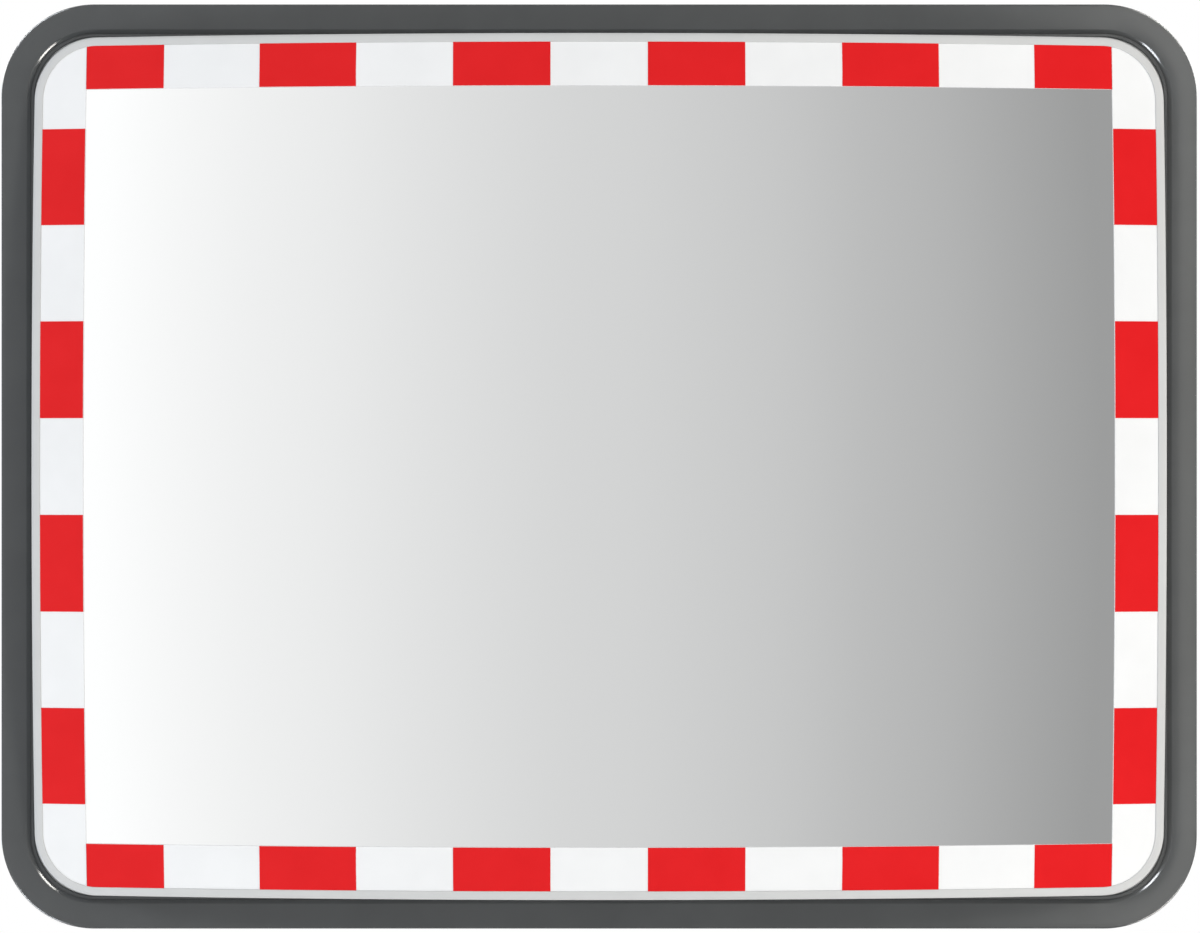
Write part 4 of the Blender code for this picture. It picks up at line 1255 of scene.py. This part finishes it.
def add_softbox(name, place, size, watts, tint="FFFFFF"):
    """Its long side lies across the line from the mirror's axis to the lamp."""
    data = bpy.data.lights.new(name, "AREA")
    data.color = linear(tint)[:3]
    data.shape = "RECTANGLE"
    data.size, data.size_y = size
    data.energy = watts
    lamp = bpy.data.objects.new(name, data)
    bpy.context.scene.collection.objects.link(lamp)
    back = (place - Vector((0, FACE_Y, 0))).normalized()
    across = back.cross(FORWARD).normalized()
    lamp.location = place
    lamp.rotation_euler = Matrix((across, back.cross(across), back)).transposed().to_euler()
    return lamp


def add_card(name, place, size, watts, tint):
    """A lamp that only the rim's gloss shows."""
    card = add_softbox(name, place, size, watts, tint)
    card.visible_diffuse = False
    card.light_linking.receiver_collection = bpy.data.collections["lit_by_cards"]


def in_front(place, side=1, level=1):
    """A lamp's place from how far it is to the side, in front of the rim's face, and up."""
    across, forward, up = place
    return Vector((side * across, FACE_Y - forward, level * up))


def make_lamps():
    """Softboxes light the front and back, and the front ones don't show in the gloss. Cards show
    in the gloss of the rim alone."""
    lit_by_cards = bpy.data.collections.new("lit_by_cards")
    lit_by_cards.objects.link(bpy.data.objects["rim_moulding"])
    place = in_front(FACE_CARD_PLACE)
    add_card("card_right_face", place, FACE_CARD_SIZE, FACE_CARD_WATTS, LIGHT_TINT["right"])
    for side, word in ((-1, "left"), (1, "right")):
        tint = LIGHT_TINT[word]
        for level, height, watts in ((-1, "low", LOW_WATTS[word]), (1, "high", HIGH_WATTS[word])):
            place = in_front(SOFTBOX_PLACE, side, level)
            softbox = add_softbox(f"front_{word}_{height}", place, SOFTBOX_SIZE, watts, tint)
            softbox.visible_glossy = False
            place = in_front(CARD_PLACE, side, level)
            add_card(f"card_{word}_{height}", place, CARD_SIZE, CARD_WATTS[word], tint)
        across, behind, up = REAR_SOFTBOX_PLACE
        place = Vector((side * across, behind, up))
        add_softbox(f"rear_{word}", place, REAR_SOFTBOX_SIZE, REAR_WATTS)


# Brightness of the room in front of the mirror, from its left round to its right, as the mirror
# shows it: the angle from straight ahead in degrees, and an sRGB grey.
ROOM_GREYS = [
    (-90, 262), (-24.5, 260), (-20.5, 251), (-16.8, 244), (-13.1, 238.5),
    (-9.4, 231), (-5.7, 224), (-2, 217.5), (1.7, 214), (5.4, 208),
    (9.1, 201.5), (12.9, 191), (16.6, 183), (20.3, 171), (24.1, 159),
    (32, 160), (45, 220), (90, 250), (150, 250),
]


def make_world():
    world = bpy.data.worlds.new("studio")
    bpy.context.scene.world = world
    world.use_nodes = True
    tree = world.node_tree
    tree.nodes.clear()

    def maths(operation, first, second):
        inputs = {0: first, 1: second}
        return add_node(tree, "ShaderNodeMath", inputs, operation=operation).outputs["Value"]

    def background(colour, strength=1.0):
        inputs = {"Color": colour, "Strength": strength}
        return add_node(tree, "ShaderNodeBackground", inputs).outputs["Background"]

    def mixed(share, first, second):
        inputs = {0: share, 1: first, 2: second}
        return add_node(tree, "ShaderNodeMixShader", inputs).outputs["Shader"]

    look = add_node(tree, "ShaderNodeTexCoord").outputs["Generated"]
    way = add_node(tree, "ShaderNodeSeparateXYZ", {"Vector": look}).outputs
    turn = maths("ARCTAN2", way["X"], maths("MULTIPLY", way["Y"], -1.0))
    inputs = {"Value": turn, "From Min": -math.pi, "From Max": math.pi}
    place = add_node(tree, "ShaderNodeMapRange", inputs).outputs["Result"]
    ramp = add_node(tree, "ShaderNodeValToRGB", {"Fac": place})
    stops = ramp.color_ramp.elements
    while len(stops) < len(ROOM_GREYS):
        stops.new(0.5)
    for stop, (angle, grey) in zip(stops, ROOM_GREYS):
        stop.position = 0.5 + angle / 360
        stop.color = (*[decoded(grey / 255)] * 3, 1.0)
    white, room = (1, 1, 1, 1), ramp.outputs["Color"]
    ray = add_node(tree, "ShaderNodeLightPath").outputs
    lit = mixed(ray["Is Glossy Ray"], background(white, SOFT_LIGHT), background(room))
    clear = maths("MAXIMUM", ray["Is Camera Ray"], ray["Is Transmission Ray"])
    final = mixed(clear, lit, background(white))
    add_node(tree, "ShaderNodeOutputWorld", {"Surface": final})


def make_camera():
    data = bpy.data.cameras.new("front_view")
    data.sensor_width = SENSOR_WIDTH
    data.lens = SENSOR_WIDTH * VIEW_DISTANCE / FRAME_WIDTH_AT_RIM
    camera = bpy.data.objects.new("front_view", data)
    bpy.context.scene.collection.objects.link(camera)
    camera.location = (VIEW_SIDE, FACE_Y - VIEW_DISTANCE, 0)
    camera.rotation_euler = (math.pi / 2, 0, 0)
    bpy.context.scene.camera = camera


# ---------------- assembly

dome = make_dome_sheet()
make_lens(dome)
make_white_film(dome)
make_red_panels(dome)
make_edging(dome)
bpy.data.objects.remove(dome)
make_rim()
make_gasket()
make_shell()
make_stiffener()
make_wall_plate()
make_arm()
make_clevis()
make_knuckle()
make_yoke()
make_fasteners()
make_floor()
make_lamps()
make_world()
make_camera()
bpy.context.scene.view_settings.view_transform = "Standard"
